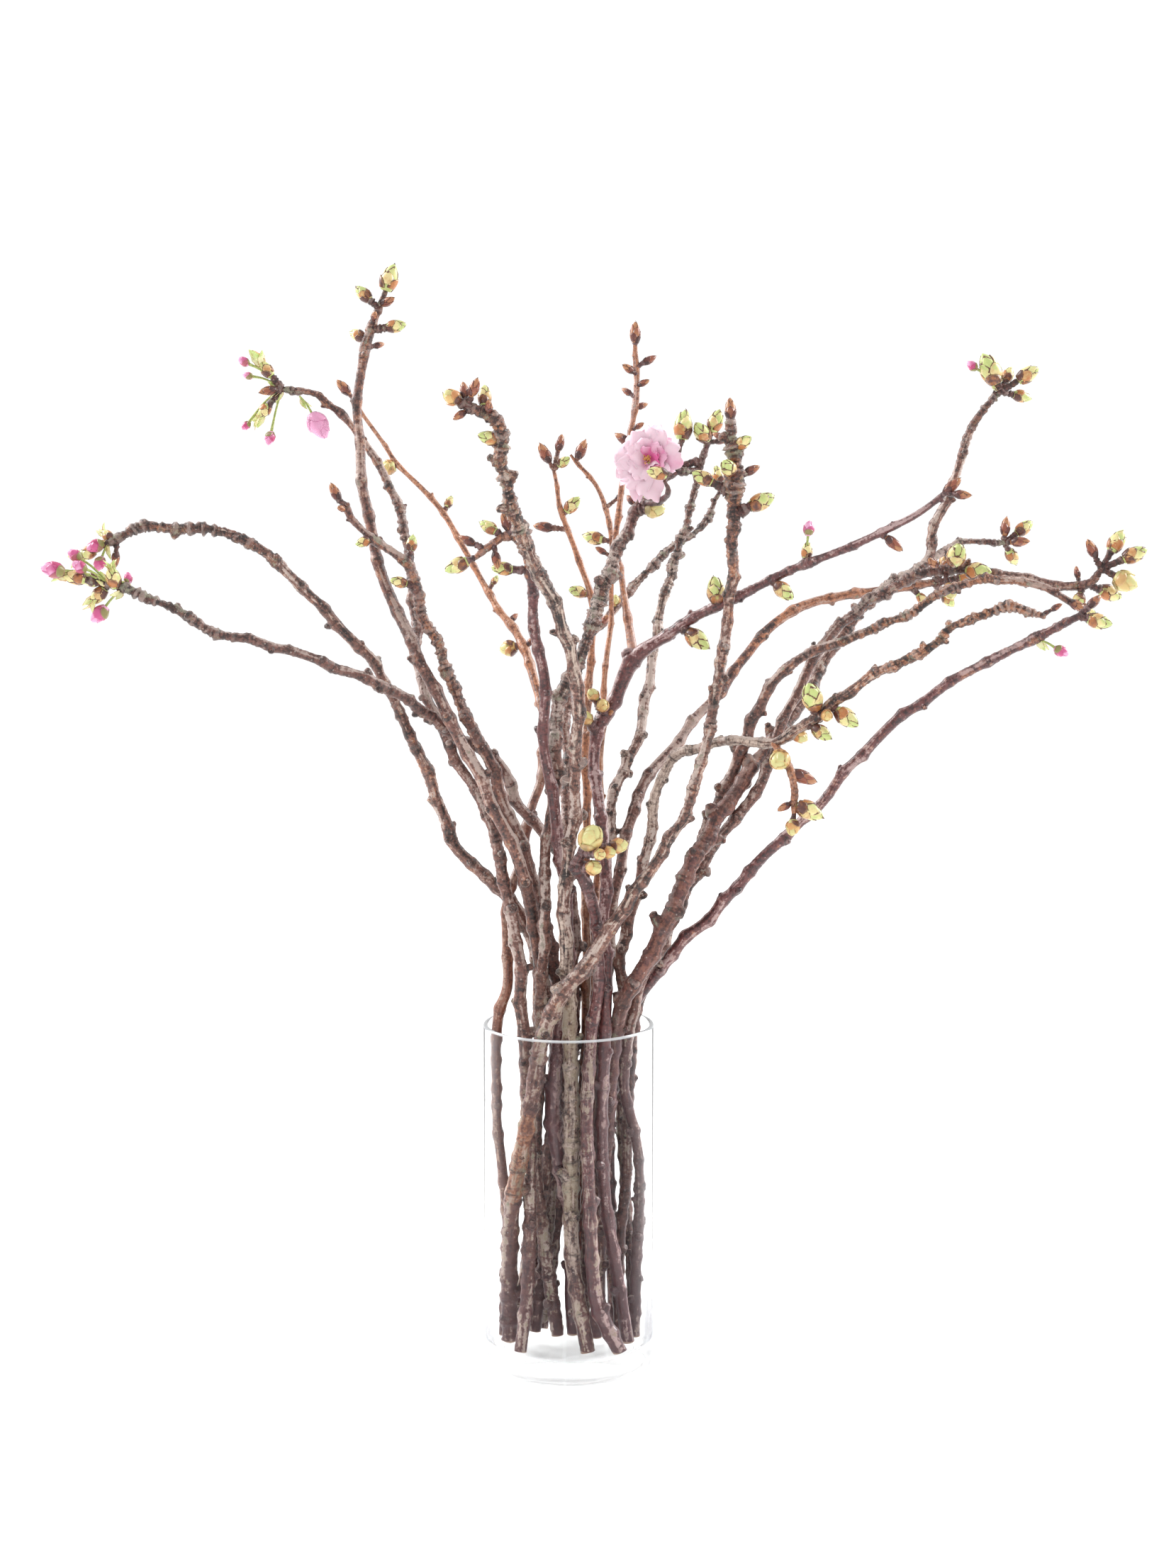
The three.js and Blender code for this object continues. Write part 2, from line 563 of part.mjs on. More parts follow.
function rootOf(stems, bud) {
  const almost = [bud[0], bud[1], bud[2] + 0.01];
  let best = { distance: Infinity };
  for (const { rings } of stems) {
    for (let k = 0; k + 1 < rings.length; k++) {
      const near = closest(rings[k].place, rings[k + 1].place, bud, almost);
      if (near.distance < best.distance) best = { ...near, rings, k };
    }
  }
  let { rings, k, s } = best;
  const atHead = k + s < 0.02;
  const down = atHead ? ROOT_UNDER_HEAD : ROOT_BELOW * best.distance;
  s += down / distance(rings[k].place, rings[k + 1].place);
  if (s > 1 && k + 2 < rings.length) {
    k += 1;
    s -= 1;
  }
  s = Math.min(1, s);
  const mix = (a, b) => a + (b - a) * s;
  return {
    place: rings[k].place.map((value, n) => mix(value, rings[k + 1].place[n])),
    radius: mix(rings[k].radius, rings[k + 1].radius),
  };
}

// A bud that would touch another branch leans to the front or back until it is clear.
const LEAN_TRIES = 24;
const LEAST_LEAN = 0.6;
const BUD_GAP = 0.5;

function leanClear(bud, root, girth, others) {
  for (let tries = 0; tries < LEAN_TRIES; tries++) {
    let most = 0;
    let way = 0;
    for (const { a, b, radius } of others) {
      const tip = tipOf(bud, root);
      if (apart(root.place, tip, a, b)) continue;
      const near = closest(root.place, tip, a, b);
      const lack = girth / 2 + radius + BUD_GAP - near.distance;
      if (lack <= most) continue;
      most = lack;
      way = near.step[1] > 0 ? -1 : 1;
    }
    if (most === 0) return true;
    bud[1] += way * Math.max(LEAST_LEAN, most);
  }
  return false;
}

// A bud's tip lies beyond its middle, half as far again from its root.
function tipOf(bud, root) {
  return bud.map((value, n) => value + (value - root.place[n]) * 0.5);
}

// A bud is a spindle, and one that stands off its branch has a neck that reaches down to it.
function budSolid(kind, bud, length, root) {
  const girth = length * BUD_FULLNESS[kind];
  const way = new THREE.Vector3(...bud).sub(new THREE.Vector3(...root.place));
  const reach = way.length();
  const neck = kind === "pink" ? STALK_RADIUS : Math.min(root.radius * 0.8, girth * 0.3);
  const standsOff = reach > 0.55 * length;
  const foot = standsOff
    ? [[0, -reach], [neck * 1.1, neck - reach], [neck, -0.4 * length]]
    : [[0, -0.5 * length]];
  const head = [[0.5 * girth, -0.06 * length], [0.27 * girth, 0.3 * length], [0, 0.5 * length]];
  const outline = [...foot, ...head].map(([r, h]) => new THREE.Vector2(r, h));
  const spindle = new THREE.LatheGeometry(outline, kind === "pink" ? STALK_SIDES : BUD_SIDES);
  place(spindle, bud, way.normalize());
  return solidOf(spindle);
}

function place(geometry, middle, way) {
  const turn = new THREE.Quaternion().setFromUnitVectors(new THREE.Vector3(0, 1, 0), way);
  geometry.applyQuaternion(turn);
  geometry.translate(...middle);
}

// A thin petal, closed all round: a sheet bent into shape, its copy set back by its thickness, and a
// wall along its edge. Both faces are split into triangles alike.
function petalSolid(length, width, lift, curl, ruffle) {
  const across = 2;
  const down = 2;
  const sheet = new THREE.PlaneGeometry(1, 1, across, down);
  const flat = sheet.getAttribute("position");
  const front = [];
  for (let i = 0; i < flat.count; i++) {
    const u = flat.getX(i) * 2;
    const v = flat.getY(i) + 0.5;
    const spread = Math.sin(Math.PI * (0.1 + 0.68 * v)) ** 0.8;
    const lean = lift + curl * v;
    const notch = v > 0.99 && Math.abs(u) < 0.1 ? 0.9 : 1;
    const out = length * v * notch * Math.sin(lean);
    const high = length * v * notch * Math.cos(lean) + ruffle * u * u * v;
    front.push([out + 1.2, (u * width * spread) / 2, high + ruffle * Math.sin(5 * u + 3 * v) * 0.5 * v]);
  }
  const back = front.map(([x, y, z]) => {
    const lean = lift + curl * 0.6;
    return [x + PETAL_THICKNESS * Math.cos(lean), y, z - PETAL_THICKNESS * Math.sin(lean)];
  });
  const faces = [...sheet.index.array];
  const count = flat.count;
  const triangles = [...faces];
  for (let i = 0; i < faces.length; i += 3) {
    triangles.push(faces[i] + count, faces[i + 2] + count, faces[i + 1] + count);
  }
  const edge = rimOf(across, down);
  edge.forEach((a, n) => {
    const b = edge[(n + 1) % edge.length];
    triangles.push(a, b, a + count, b, b + count, a + count);
  });
  const closed = new THREE.BufferGeometry();
  closed.setAttribute("position", new THREE.Float32BufferAttribute([...front, ...back].flat(), 3));
  closed.setIndex(triangles);
  return closed;
}

// The corners round the edge of a grid, in order.
function rimOf(across, down) {
  const wide = across + 1;
  const rim = [];
  for (let i = 0; i < across; i++) rim.push(i);
  for (let j = 0; j < down; j++) rim.push(j * wide + across);
  for (let i = across; i > 0; i--) rim.push(down * wide + i);
  for (let j = down; j > 0; j--) rim.push(j * wide);
  return rim;
}

// The open double blossom: petals in three layers round a small cup, on a thin bent stalk.
const PETAL_LAYERS = [
  { count: 6, length: 21, width: 18, lift: 1.05, curl: 0.45, ruffle: 2 },
  { count: 5, length: 17, width: 13, lift: 0.66, curl: 0.4, ruffle: 2 },
  { count: 3, length: 12, width: 10, lift: 0.26, curl: 0.3, ruffle: 1.5 },
];

function bloomMesh(head) {
  const facing = new THREE.Vector3(...BLOOM_FACING).normalize();
  const cup = new THREE.LatheGeometry(
    [[0, -5], [2.2, -4.5], [3.6, 0], [2.6, 3.2], [0, 4]].map(([r, h]) => new THREE.Vector2(r, h)),
    7,
  );
  place(cup, BLOOM_CENTRE, facing);
  let bloom = solidOf(cup);
  PETAL_LAYERS.forEach((layer, depth) => {
    for (let n = 0; n < layer.count; n++) {
      const petal = petalSolid(layer.length, layer.width, layer.lift, layer.curl, layer.ruffle);
      const solid = petal.rotateX(-Math.PI / 2).rotateY(((n + 0.4 * depth) / layer.count) * 2 * Math.PI);
      place(solid, BLOOM_CENTRE, facing);
      bloom = bloom.add(solidOf(solid));
    }
  });
  const inCup = new THREE.Vector3(...BLOOM_CENTRE).addScaledVector(facing, -3).toArray();
  const places = [inCup, ...BLOOM_STALK, footAbove(head)];
  const stalk = places.map((place) => ({ place, radius: BLOOM_STALK_RADIUS }));
  return meshOf("bloom", bloom.add(bentStem(stalk, false)), FINISHES.petals);
}

// The stalk's foot stands just clear of the cut head of its branch.
function footAbove([head, next]) {
  const up = new THREE.Vector3(...head.place).sub(new THREE.Vector3(...next.place)).normalize();
  return new THREE.Vector3(...head.place).addScaledVector(up, 2.5 * TOUCH_GAP).toArray();
}

// The vase: a straight glass wall on a thick flat base, turned about its axis.
function vaseMesh() {
  const inner = VASE_RADIUS - WALL;
  const outline = [
    [0, 0], [VASE_RADIUS - EDGE, 0], [VASE_RADIUS, EDGE], [VASE_RADIUS, VASE_HEIGHT],
    [inner, VASE_HEIGHT], [inner, FLOOR_TOP + 2 * EDGE], [inner - 2 * EDGE, FLOOR_TOP], [0, FLOOR_TOP],
  ];
  const points = outline.map(([r, h]) => new THREE.Vector2(r, h));
  const turned = new THREE.LatheGeometry(points, VASE_SIDES).rotateX(Math.PI / 2);
  return meshOf("vase", solidOf(turned), FINISHES.glass);
}

// Every stem and twig, sampled, seated on what it grows from, and then settled.
const stems = [];
for (const branch of BRANCHES) {
  const main = { branch, rings: ringsOf(branch.route) };
  main.rings.at(-1).place[2] = FLOOR_TOP + TOUCH_GAP;
  stems.push(main);
  if (branch.twig) stems.push(twigOn(main, branch));
}

function twigOn(main, branch) {
  const rings = ringsOf(branch.twig);
  const foot = rings.at(-1).place;
  let seat = 0;
  main.rings.forEach(({ place }, k) => {
    const better = distance(place, foot) < distance(main.rings[seat].place, foot);
    if (better) seat = k;
  });
  return { branch, rings, parent: main, seat };
}

function distance(a, b) {
  return Math.hypot(a[0] - b[0], a[1] - b[1], a[2] - b[2]);
}

settle(stems);

const arrangement = new THREE.Group();
const bearing = stems.find(({ branch }) => branch.name === "bloom_bearing");
arrangement.add(vaseMesh(), bloomMesh(bearing.rings));

const stretches = stems.flatMap(({ branch, rings }) =>
  rings.slice(1).map((ring, k) => ({
    branch,
    a: rings[k].place,
    b: ring.place,
    radius: Math.max(rings[k].radius, ring.radius) * (1 + KNUCKLE),
  })),
);

for (const branch of BRANCHES) {
  const own = stems.filter((stem) => stem.branch === branch);
  let solid = own.map(({ rings, parent }) => bentStem(rings, !parent)).reduce((a, b) => a.add(b));
  for (const kind of Object.keys(BUD_FULLNESS)) {
    for (const [x, y, z, length] of branch[kind] ?? []) {
      const bud = [x, y, z];
      const girth = length * BUD_FULLNESS[kind];
      const root = rootOf(own, bud);
      const others = stretches.filter((stretch) => stretch.branch !== branch);
      if (!leanClear(bud, root, girth, others)) continue;
      solid = solid.add(budSolid(kind, bud, length, root));
      stretches.push({ branch, a: root.place, b: tipOf(bud, root), radius: girth / 2 });
    }
  }
  arrangement.add(meshOf(`${branch.name}_branch`, solid, FINISHES[branch.bark]));
}

export default arrangement;
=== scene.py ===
import json
import math
import random

import bpy
import numpy as np
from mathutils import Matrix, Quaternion, Vector

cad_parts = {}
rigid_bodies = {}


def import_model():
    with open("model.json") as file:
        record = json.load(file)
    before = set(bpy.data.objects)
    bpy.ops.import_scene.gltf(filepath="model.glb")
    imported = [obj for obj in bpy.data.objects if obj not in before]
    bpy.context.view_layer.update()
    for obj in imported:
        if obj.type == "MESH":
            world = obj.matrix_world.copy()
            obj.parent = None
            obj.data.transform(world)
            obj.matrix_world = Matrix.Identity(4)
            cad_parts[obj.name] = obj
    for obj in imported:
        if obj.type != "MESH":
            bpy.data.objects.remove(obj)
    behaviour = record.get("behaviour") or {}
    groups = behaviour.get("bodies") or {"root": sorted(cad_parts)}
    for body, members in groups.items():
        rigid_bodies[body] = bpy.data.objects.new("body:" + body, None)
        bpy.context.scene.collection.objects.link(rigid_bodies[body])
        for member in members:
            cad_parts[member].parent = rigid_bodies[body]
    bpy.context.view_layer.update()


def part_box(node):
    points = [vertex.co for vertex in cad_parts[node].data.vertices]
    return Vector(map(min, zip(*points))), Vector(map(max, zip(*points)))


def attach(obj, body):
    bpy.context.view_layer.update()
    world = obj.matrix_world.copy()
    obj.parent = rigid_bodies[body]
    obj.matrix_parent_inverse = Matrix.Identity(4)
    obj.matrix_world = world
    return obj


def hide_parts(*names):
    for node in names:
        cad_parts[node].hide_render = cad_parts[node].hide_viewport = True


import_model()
scene = bpy.context.scene
scene.view_settings.view_transform = "Standard"


# ---- Camera -------------------------------------------------------------------------------
# It stands at the height of the upper branches, almost straight in front, and looks down a little,
# so that the vase's mouth shows as a thin ellipse.
def stood(name, data):
    """A mesh, lamp or camera set in the scene as an object."""
    thing = bpy.data.objects.new(name, data)
    scene.collection.objects.link(thing)
    return thing


LOOKS_DOWN = 7.26
camera = stood("camera", bpy.data.cameras.new("camera"))
camera.location = (0.0137, -1.9, 0.657)
camera.rotation_euler = (math.radians(90 - LOOKS_DOWN), 0, 0)
camera.data.sensor_width = 36
camera.data.lens = 63.3
camera.data.clip_end = 100
scene.camera = camera

# ---- Branches: where they run ---------------------------------------------------------------
# Cut cherry branches, the thickest about 12 mm across, each bent its own way. A branch may carry a
# twig that grows out of it, and its buds.

# Each route lists x, y, z and girth in millimetres from the branch's head to its cut foot. Buds of
# each kind are listed by the place of their middle and their length. "warm" and "pale" say how tan
# and how light the bark is at a distance from the head; below zero, pale is dark.
BRANCHES = {
    "left_arch": {
        "bark": "grey", "warm": [(0, 0.2), (150, 0.08), (300, 0.16), (450, 0.05)],
        "route": [
            (-312, -30, 583, 5.5), (-286, -30, 593, 6.5), (-240, -28, 591, 7.5), (-210, -25, 579, 7.5),
            (-175, -20, 545, 7.5), (-142, -12, 512, 7.5), (-118, -2, 468, 7.5), (-100, 6, 425, 8),
            (-76, 12, 370, 8.5), (-28, 14, 321, 9), (-14, 12, 265, 9), (-11, 16, 182, 9),
            (-38, 24, 16, 9),
        ],
        "pink": [(-319, -34, 581, 8), (-316, -36, 569, 7)], "brown": [(-306, -30, 572, 11)],
        "green": [(-325, -32, 576, 11), (-312, -27, 588, 9)],
    },
    "left_low": {
        "bark": "grey", "warm": [(0, 0.1), (200, 0.05)],
        "route": [
            (-304, -80, 558, 5), (-270, -78, 547, 6), (-235, -74, 527, 6.5), (-194, -66, 515, 6.5),
            (-153, -55, 500, 7), (-116, -40, 482, 7.5), (-81, -16, 453, 7.5), (-50, 0, 430, 8),
            (-33, 8, 397, 8), (-8, 14, 366, 8), (-1, 18, 315, 8.5), (-1, 20, 263, 8.5), (-4, 24, 180, 9),
            (-34, 36, 16, 9),
        ],
        "pink": [
            (-338, -86, 568, 10), (-325, -77, 577, 7), (-320, -88, 570, 7), (-290, -77, 562, 5),
            (-309, -80, 538, 9),
        ],
        "green": [(-325, -82, 563, 12), (-299, -83, 563, 12), (-310, -79, 550, 11), (-316, -75, 561, 11)],
    },
    "left_tall": {
        "bark": "red", "like": "grey", "warm": [(0, 0.3), (300, 0.15)],
        "pale": [(0, -0.25), (200, -0.35), (500, -0.15)],
        "route": [
            (-128, 60, 756, 4.5), (-140, 52, 724, 6), (-144, 48, 702, 6.5), (-147, 40, 662, 7),
            (-143, 30, 623, 7.5), (-129, 12, 560, 8), (-109, -6, 517, 8.5), (-84, -26, 470, 8.5),
            (-56, -34, 415, 9), (-32, -30, 365, 9), (-21, -10, 317, 9.5), (-15, 2, 267, 9.5),
            (-13, 8, 215, 9.5), (-19, 20, 134, 9.5), (-25, 42, 16, 9.5),
        ],
        "brown": [(-126, 53, 748, 12), (-133, 56, 718, 9), (-135, 46, 738, 9)],
        "green": [(-125, 60, 765, 18), (-144, 60, 754, 13), (-120, 51, 731, 13), (-148, 56, 725, 12)],
    },
    "left_hook": {
        "bark": "grey", "warm": [(0, 0.35), (90, 0.2), (200, 0.05)],
        "pale": [(0, 0), (480, 0), (540, 0.35), (640, 0.3), (760, 0)],
        "route": [
            (-209, 110, 689, 5), (-183, 108, 684, 5), (-157, 100, 662, 5.5), (-133, 88, 629, 6),
            (-116, 70, 584, 6.5), (-108, 40, 523, 7), (-103, 15, 488, 7), (-79, -6, 436, 7.5),
            (-53, -16, 390, 8), (-44, -24, 352, 8.5), (-33, -26, 303, 9), (-27, -22, 239, 9.5),
            (-26, -14, 169, 9.5), (-27, -20, 94, 9.5), (-35, -28, 16, 9.5),
        ],
        "pink": [
            (-234, 105, 708, 7), (-232, 112, 698, 6), (-234, 114, 662, 6), (-216, 106, 653, 8),
            (-180, 101, 662, 16),
        ],
        "green": [(-219, 110, 703, 13), (-221, 112, 672, 12)], "brown": [(-217, 106, 687, 13)],
    },
    "left_inner": {
        "bark": "grey", "warm": [(0, 0.3), (150, 0.22), (300, 0.05)],
        "route": [
            (-157, -10, 612, 4.5), (-140, -10, 593, 5), (-109, -10, 567, 6.5), (-103, -10, 542, 7),
            (-88, -11, 508, 7.5), (-73, -12, 469, 8), (-54, -14, 432, 9), (-47, -10, 399, 9),
            (-37, -4, 376, 9), (-23, 4, 335, 9), (-9, 18, 264, 9), (-11, 18, 187, 9), (-29, 18, 16, 9),
        ],
        "brown": [(-159, -9, 617, 13), (-154, -16, 606, 9), (-133, -5, 584, 8)],
        "green": [(-140, -15, 583, 10), (-107, -5, 582, 11), (-116, -14, 556, 11)],
    },
    "left_thin": {
        "bark": "tan", "warm": [(0, 1), (220, 0.9), (300, 0.4), (380, 0.05)],
        "pale": [(0, 0), (280, 0), (380, -0.6), (560, -0.35)],
        "route": [
            (-163, 192, 683, 3), (-130, 180, 636, 3.5), (-92, 165, 594, 4.5), (-59, 140, 538, 5),
            (-35, 115, 503, 6.5), (-18, 75, 455, 7), (-19, 50, 417, 7), (-27, 35, 391, 7),
            (-34, 15, 358, 7), (-43, 0, 331, 7), (-42, -8, 274, 8), (-48, -6, 254, 8), (-53, 0, 200, 8),
            (-48, 4, 144, 8), (-44, 8, 96, 8), (-47, 10, 16, 8),
        ],
        "brown": [(-170, 190, 691, 14), (-41, 130, 522, 9), (-28, 112, 506, 9)],
        "round": [(-137, 180, 631, 13), (-45, 118, 500, 13)],
        "green": [(-90, 170, 606, 9), (-55, 142, 549, 7)],
    },
    "centre_gnarled": {
        "bark": "grey", "warm": [(0, 0.3), (120, 0.2), (260, 0.05)],
        "pale": [(0, 0.1), (160, 0.3), (300, 0.1), (450, 0.5), (600, 0.45), (690, 0.1)],
        "route": [
            (-66, -110, 675, 6), (-45, -108, 663, 8), (-42, -100, 635, 9), (-35, -90, 607, 9.5),
            (-21, -76, 569, 9.5), (-8, -66, 543, 9), (1, -56, 514, 8.5), (7, -48, 479, 9),
            (5, -40, 438, 8.5), (4, -34, 398, 9), (-2, -30, 358, 9), (-4, -28, 323, 9.5),
            (-2, -24, 277, 10), (-1, -18, 231, 10.5), (1, -18, 160, 11.5), (4, -22, 79, 11),
            (15, -28, 16, 11),
        ],
        "brown": [(-66, -106, 684, 12), (-59, -116, 686, 13), (-50, -115, 674, 10), (-69, -114, 668, 10)],
        "round": [(-74, -112, 680, 12)], "green": [(-53, -104, 681, 13), (-51, -108, 654, 13)],
    },
    "centre_red": {
        "bark": "red", "warm": [(0, 0.9), (40, 0.9), (70, 0)], "pale": [(0, 0), (380, 0), (430, -0.3)],
        "route": [
            (-62, -62, 574, 4), (-51, -61, 582, 4.5), (-42, -60, 588, 5), (-33, -58, 586, 5.5),
            (-25, -50, 566, 6.5), (-23, -40, 529, 7.5), (-16, -30, 490, 8), (-16, -22, 440, 8),
            (-11, -18, 405, 8.5), (-5, -12, 367, 8.5), (-2, -8, 324, 8.5), (-5, -10, 275, 9),
            (-11, -14, 230, 10.5), (-15, -14, 184, 12), (-9, -10, 143, 11.5), (-2, 0, 104, 10),
            (3, 12, 16, 10),
        ],
        "brown": [(-67, -58, 586, 12), (-41, -60, 599, 13), (-47, -66, 573, 12)],
        "green": [(-74, -62, 569, 15), (-53, -57, 595, 12), (-44, -52, 567, 13)],
    },
    "centre_tan": {
        "bark": "tan", "warm": [(0, 0.9), (200, 0.8), (300, 0.3), (350, 0.1)],
        "route": [
            (-11, 60, 633, 3), (-6, 58, 605, 3.5), (7, 54, 569, 4.5), (17, 50, 532, 5),
            (15, 46, 488, 5.5), (12, 40, 438, 6), (13, 36, 388, 6), (12, 30, 313, 6.5), (11, 26, 262, 7),
            (6, 26, 180, 7), (1, 26, 16, 7),
        ],
        "brown": [(-17, 57, 643, 15), (-6, 62, 650, 12), (-18, 59, 591, 14)],
        "green": [(-3, 55, 637, 10), (3, 56, 607, 13), (6, 48, 546, 12)],
    },
    "centre_slim": {
        "bark": "tan", "warm": [(0, 0.9), (220, 0.8), (300, 0.3)],
        "route": [
            (1, 130, 641, 3), (22, 126, 616, 3.5), (31, 118, 578, 4), (30, 108, 529, 4),
            (25, 90, 466, 4.5), (23, 76, 429, 5), (22, 60, 385, 5.5), (18, 40, 311, 6),
            (17, 34, 261, 6.5), (14, 34, 178, 7), (4, 40, 16, 7),
        ],
        "brown": [(9, 130, 645, 15), (37, 124, 611, 8), (23, 114, 572, 9)], "green": [(17, 121, 581, 14)],
    },
    "forked": {
        "bark": "red", "twig_warm": 0.9, "pale": [(0, 0), (480, 0), (560, -0.3)],
        "route": [
            (255, -50, 620, 4), (228, -46, 599, 5), (191, -38, 582, 5.5), (144, -24, 561, 6),
            (104, -8, 540, 7), (68, 8, 518, 8), (46, 18, 499, 12), (32, 22, 472, 10), (21, 20, 450, 9),
            (17, 16, 426, 8.5), (19, 12, 411, 8.5), (27, 0, 373, 9), (30, -6, 329, 9), (33, -12, 270, 9),
            (32, -14, 230, 9.5), (28, -14, 169, 9.5), (27, -12, 123, 9.5), (32, -10, 81, 9.5),
            (42, -5, 16, 10),
        ],
        "twig": [
            (47, 70, 721, 4), (48, 68, 692, 4), (41, 60, 638, 4.5), (34, 54, 590, 4.5), (38, 46, 546, 5),
            (46, 24, 503, 8),
        ],
        "brown": [
            (257, -50, 622, 14), (219, -45, 583, 14), (29, 17, 463, 9), (47, 70, 727, 15),
            (57, 71, 708, 11), (42, 64, 702, 11), (53, 65, 692, 9), (41, 71, 686, 9), (52, 68, 676, 9),
            (50, 59, 662, 8), (38, 64, 653, 13),
        ],
        "green": [(162, -28, 578, 11), (147, -28, 550, 15), (101, -13, 551, 18), (90, -3, 515, 18)],
        "round": [(17, 14, 476, 10), (24, 11, 469, 10), (12, 12, 460, 11)], "pink": [(163, -29, 593, 8)],
    },
    "bloom_bearing": {
        "bark": "grey", "pale": [(0, 0.1), (120, 0.25), (300, 0.1), (400, 0.35), (500, 0.3), (610, 0)],
        "twig_pale": -0.7,
        "route": [
            (51, 10, 612, 7), (39, 6, 587, 9), (28, 2, 560, 9.5), (18, -4, 534, 9.5), (9, -14, 503, 9),
            (-1, -14, 488, 9), (-7, -14, 469, 9), (-9, -14, 444, 9.5), (-9, -12, 419, 8.5),
            (-13, -6, 399, 8), (-18, -10, 370, 8), (-18, -22, 322, 8), (-19, -24, 282, 8.5),
            (-19, -22, 239, 8.5), (-23, -8, 157, 9), (-17, 4, 87, 9.5), (-8, 10, 16, 10),
        ],
        "round": [(60, 6, 605, 14)], "brown": [(43, 14, 611, 9)],
    },
    "back_tall": {
        "bark": "grey", "pale": [(0, -0.3), (60, 0.1), (120, 0.45), (300, 0.4), (420, 0.1)],
        "twig_pale": -0.6,
        "route": [
            (103, 152, 652, 4), (96, 150, 630, 5), (91, 146, 607, 5.5), (80, 134, 572, 6),
            (68, 118, 531, 6.5), (61, 102, 494, 7), (53, 84, 454, 7.5), (48, 72, 429, 7.5),
            (35, 56, 403, 7.5), (32, 44, 377, 7.5), (28, 34, 343, 8), (24, 28, 303, 8), (22, 24, 263, 8),
            (18, 24, 180, 8), (11, 22, 16, 8),
        ],
        "twig": [(83, 146, 652, 4), (78, 138, 630, 4.5), (95, 150, 626, 4.5)],
        "green": [(108, 150, 666, 16), (97, 145, 658, 17), (84, 147, 663, 20), (65, 130, 624, 13)],
        "brown": [(112, 155, 651, 10), (74, 138, 648, 11), (68, 132, 635, 9)],
    },
    "back_slant": {
        "bark": "grey", "pale": [(0, 0.25), (150, 0.35), (300, 0.1)],
        "route": [
            (115, 200, 615, 4.5), (100, 194, 587, 5), (75, 184, 569, 5.5), (53, 172, 549, 6),
            (34, 158, 527, 6), (14, 142, 505, 6), (2, 126, 481, 6.5), (-2, 104, 447, 7),
            (-1, 82, 408, 7.5), (-3, 66, 379, 8), (-1, 44, 331, 8), (3, 30, 261, 8), (-1, 34, 198, 8),
            (-24, 30, 16, 8),
        ],
        "green": [(112, 203, 625, 14)], "brown": [(26, 148, 519, 11)], "round": [(34, 156, 533, 9)],
    },
    "crossing": {
        "bark": "grey",
        "warm": [(0, 0.4), (90, 0.25), (200, 0.15), (505, 0.1), (525, 1.2), (560, 1.2), (580, 0.1)],
        "pale": [(0, 0), (150, 0.4), (380, 0.4), (480, 0.3), (560, 0.25), (680, 0.1)],
        "route": [
            (110, -20, 665, 7), (113, -20, 638, 11), (112, -22, 586, 8), (110, -26, 543, 7.5),
            (103, -30, 495, 7.5), (93, -36, 444, 7.5), (80, -40, 401, 7.5), (63, -42, 371, 8),
            (44, -44, 344, 8.5), (24, -46, 312, 10.5), (-2, -46, 278, 12), (-16, -44, 247, 11),
            (-22, -40, 206, 11), (-30, -32, 159, 11.5), (-36, -20, 120, 11.5), (-39, -8, 75, 12),
            (-41, -2, 16, 12),
        ],
        "brown": [(110, -18, 673, 15), (102, -15, 655, 9), (125, -17, 632, 12)],
        "green": [(119, -25, 651, 12), (108, -29, 634, 15), (132, -19, 611, 17), (91, -20, 627, 14)],
    },
    "right_tall": {
        "bark": "grey", "warm": [(0, 0.12), (300, 0.1), (370, 0.5), (540, 0.4), (640, 0.2)],
        "pale": [(0, 0), (300, 0), (370, -0.85), (560, -0.85), (700, -0.3)],
        "route": [
            (313, 110, 688, 5), (291, 112, 660, 6), (280, 112, 624, 6.5), (265, 110, 588, 7),
            (258, 106, 564, 8), (219, 92, 538, 8.5), (191, 76, 507, 8.5), (166, 54, 467, 9),
            (138, 30, 434, 10), (107, 2, 394, 11), (79, -16, 353, 12), (59, -22, 309, 12),
            (37, -20, 268, 11), (30, -6, 233, 10.5), (27, 0, 186, 10), (24, 4, 118, 10), (19, 4, 16, 10),
        ],
        "twig": [(321, 128, 577, 4), (286, 122, 577, 5), (260, 106, 566, 6)],
        "brown": [(320, 130, 589, 14), (330, 123, 578, 14)],
        "green": [
            (303, 108, 703, 22), (331, 107, 699, 16), (328, 114, 683, 13), (318, 117, 699, 12),
            (334, 131, 588, 14), (326, 133, 566, 13),
        ],
        "pink": [(290, 106, 705, 7)],
    },
    "right_arch": {
        "bark": "grey", "warm": [(0, 0.25), (90, 0.12), (200, 0.05)],
        "pale": [(0, 0), (480, 0), (560, -0.35)],
        "route": [
            (370, 10, 565, 5), (353, 12, 551, 5.5), (309, 16, 558, 6), (270, 20, 564, 6.5),
            (227, 24, 551, 7), (187, 26, 521, 7.5), (153, 22, 465, 7.5), (133, 14, 414, 8),
            (103, 8, 372, 8.5), (78, 2, 323, 8.5), (58, -2, 287, 8.5), (45, -2, 255, 8.5),
            (37, 6, 197, 8), (46, 6, 154, 8), (50, 4, 113, 8.5), (48, 6, 66, 8.5), (47, 7, 16, 9),
        ],
        "brown": [(361, 7, 578, 14), (353, 16, 561, 9)],
        "green": [(380, 14, 583, 16), (391, 5, 574, 16), (377, 17, 546, 16)],
        "round": [(385, 5, 555, 17)],
    },
    "right_twin": {
        "bark": "grey", "warm": [(0, 0.3), (120, 0.35), (230, 0.15), (340, 0.05)],
        "route": [
            (341, -30, 543, 5), (307, -28, 558, 5.5), (262, -24, 553, 6), (234, -20, 535, 6),
            (196, -14, 519, 6.5), (153, -2, 497, 7), (132, 10, 465, 8), (120, 24, 427, 9),
            (100, 28, 383, 9), (77, 22, 334, 8.5), (57, 18, 289, 8.5), (44, 16, 254, 8.5),
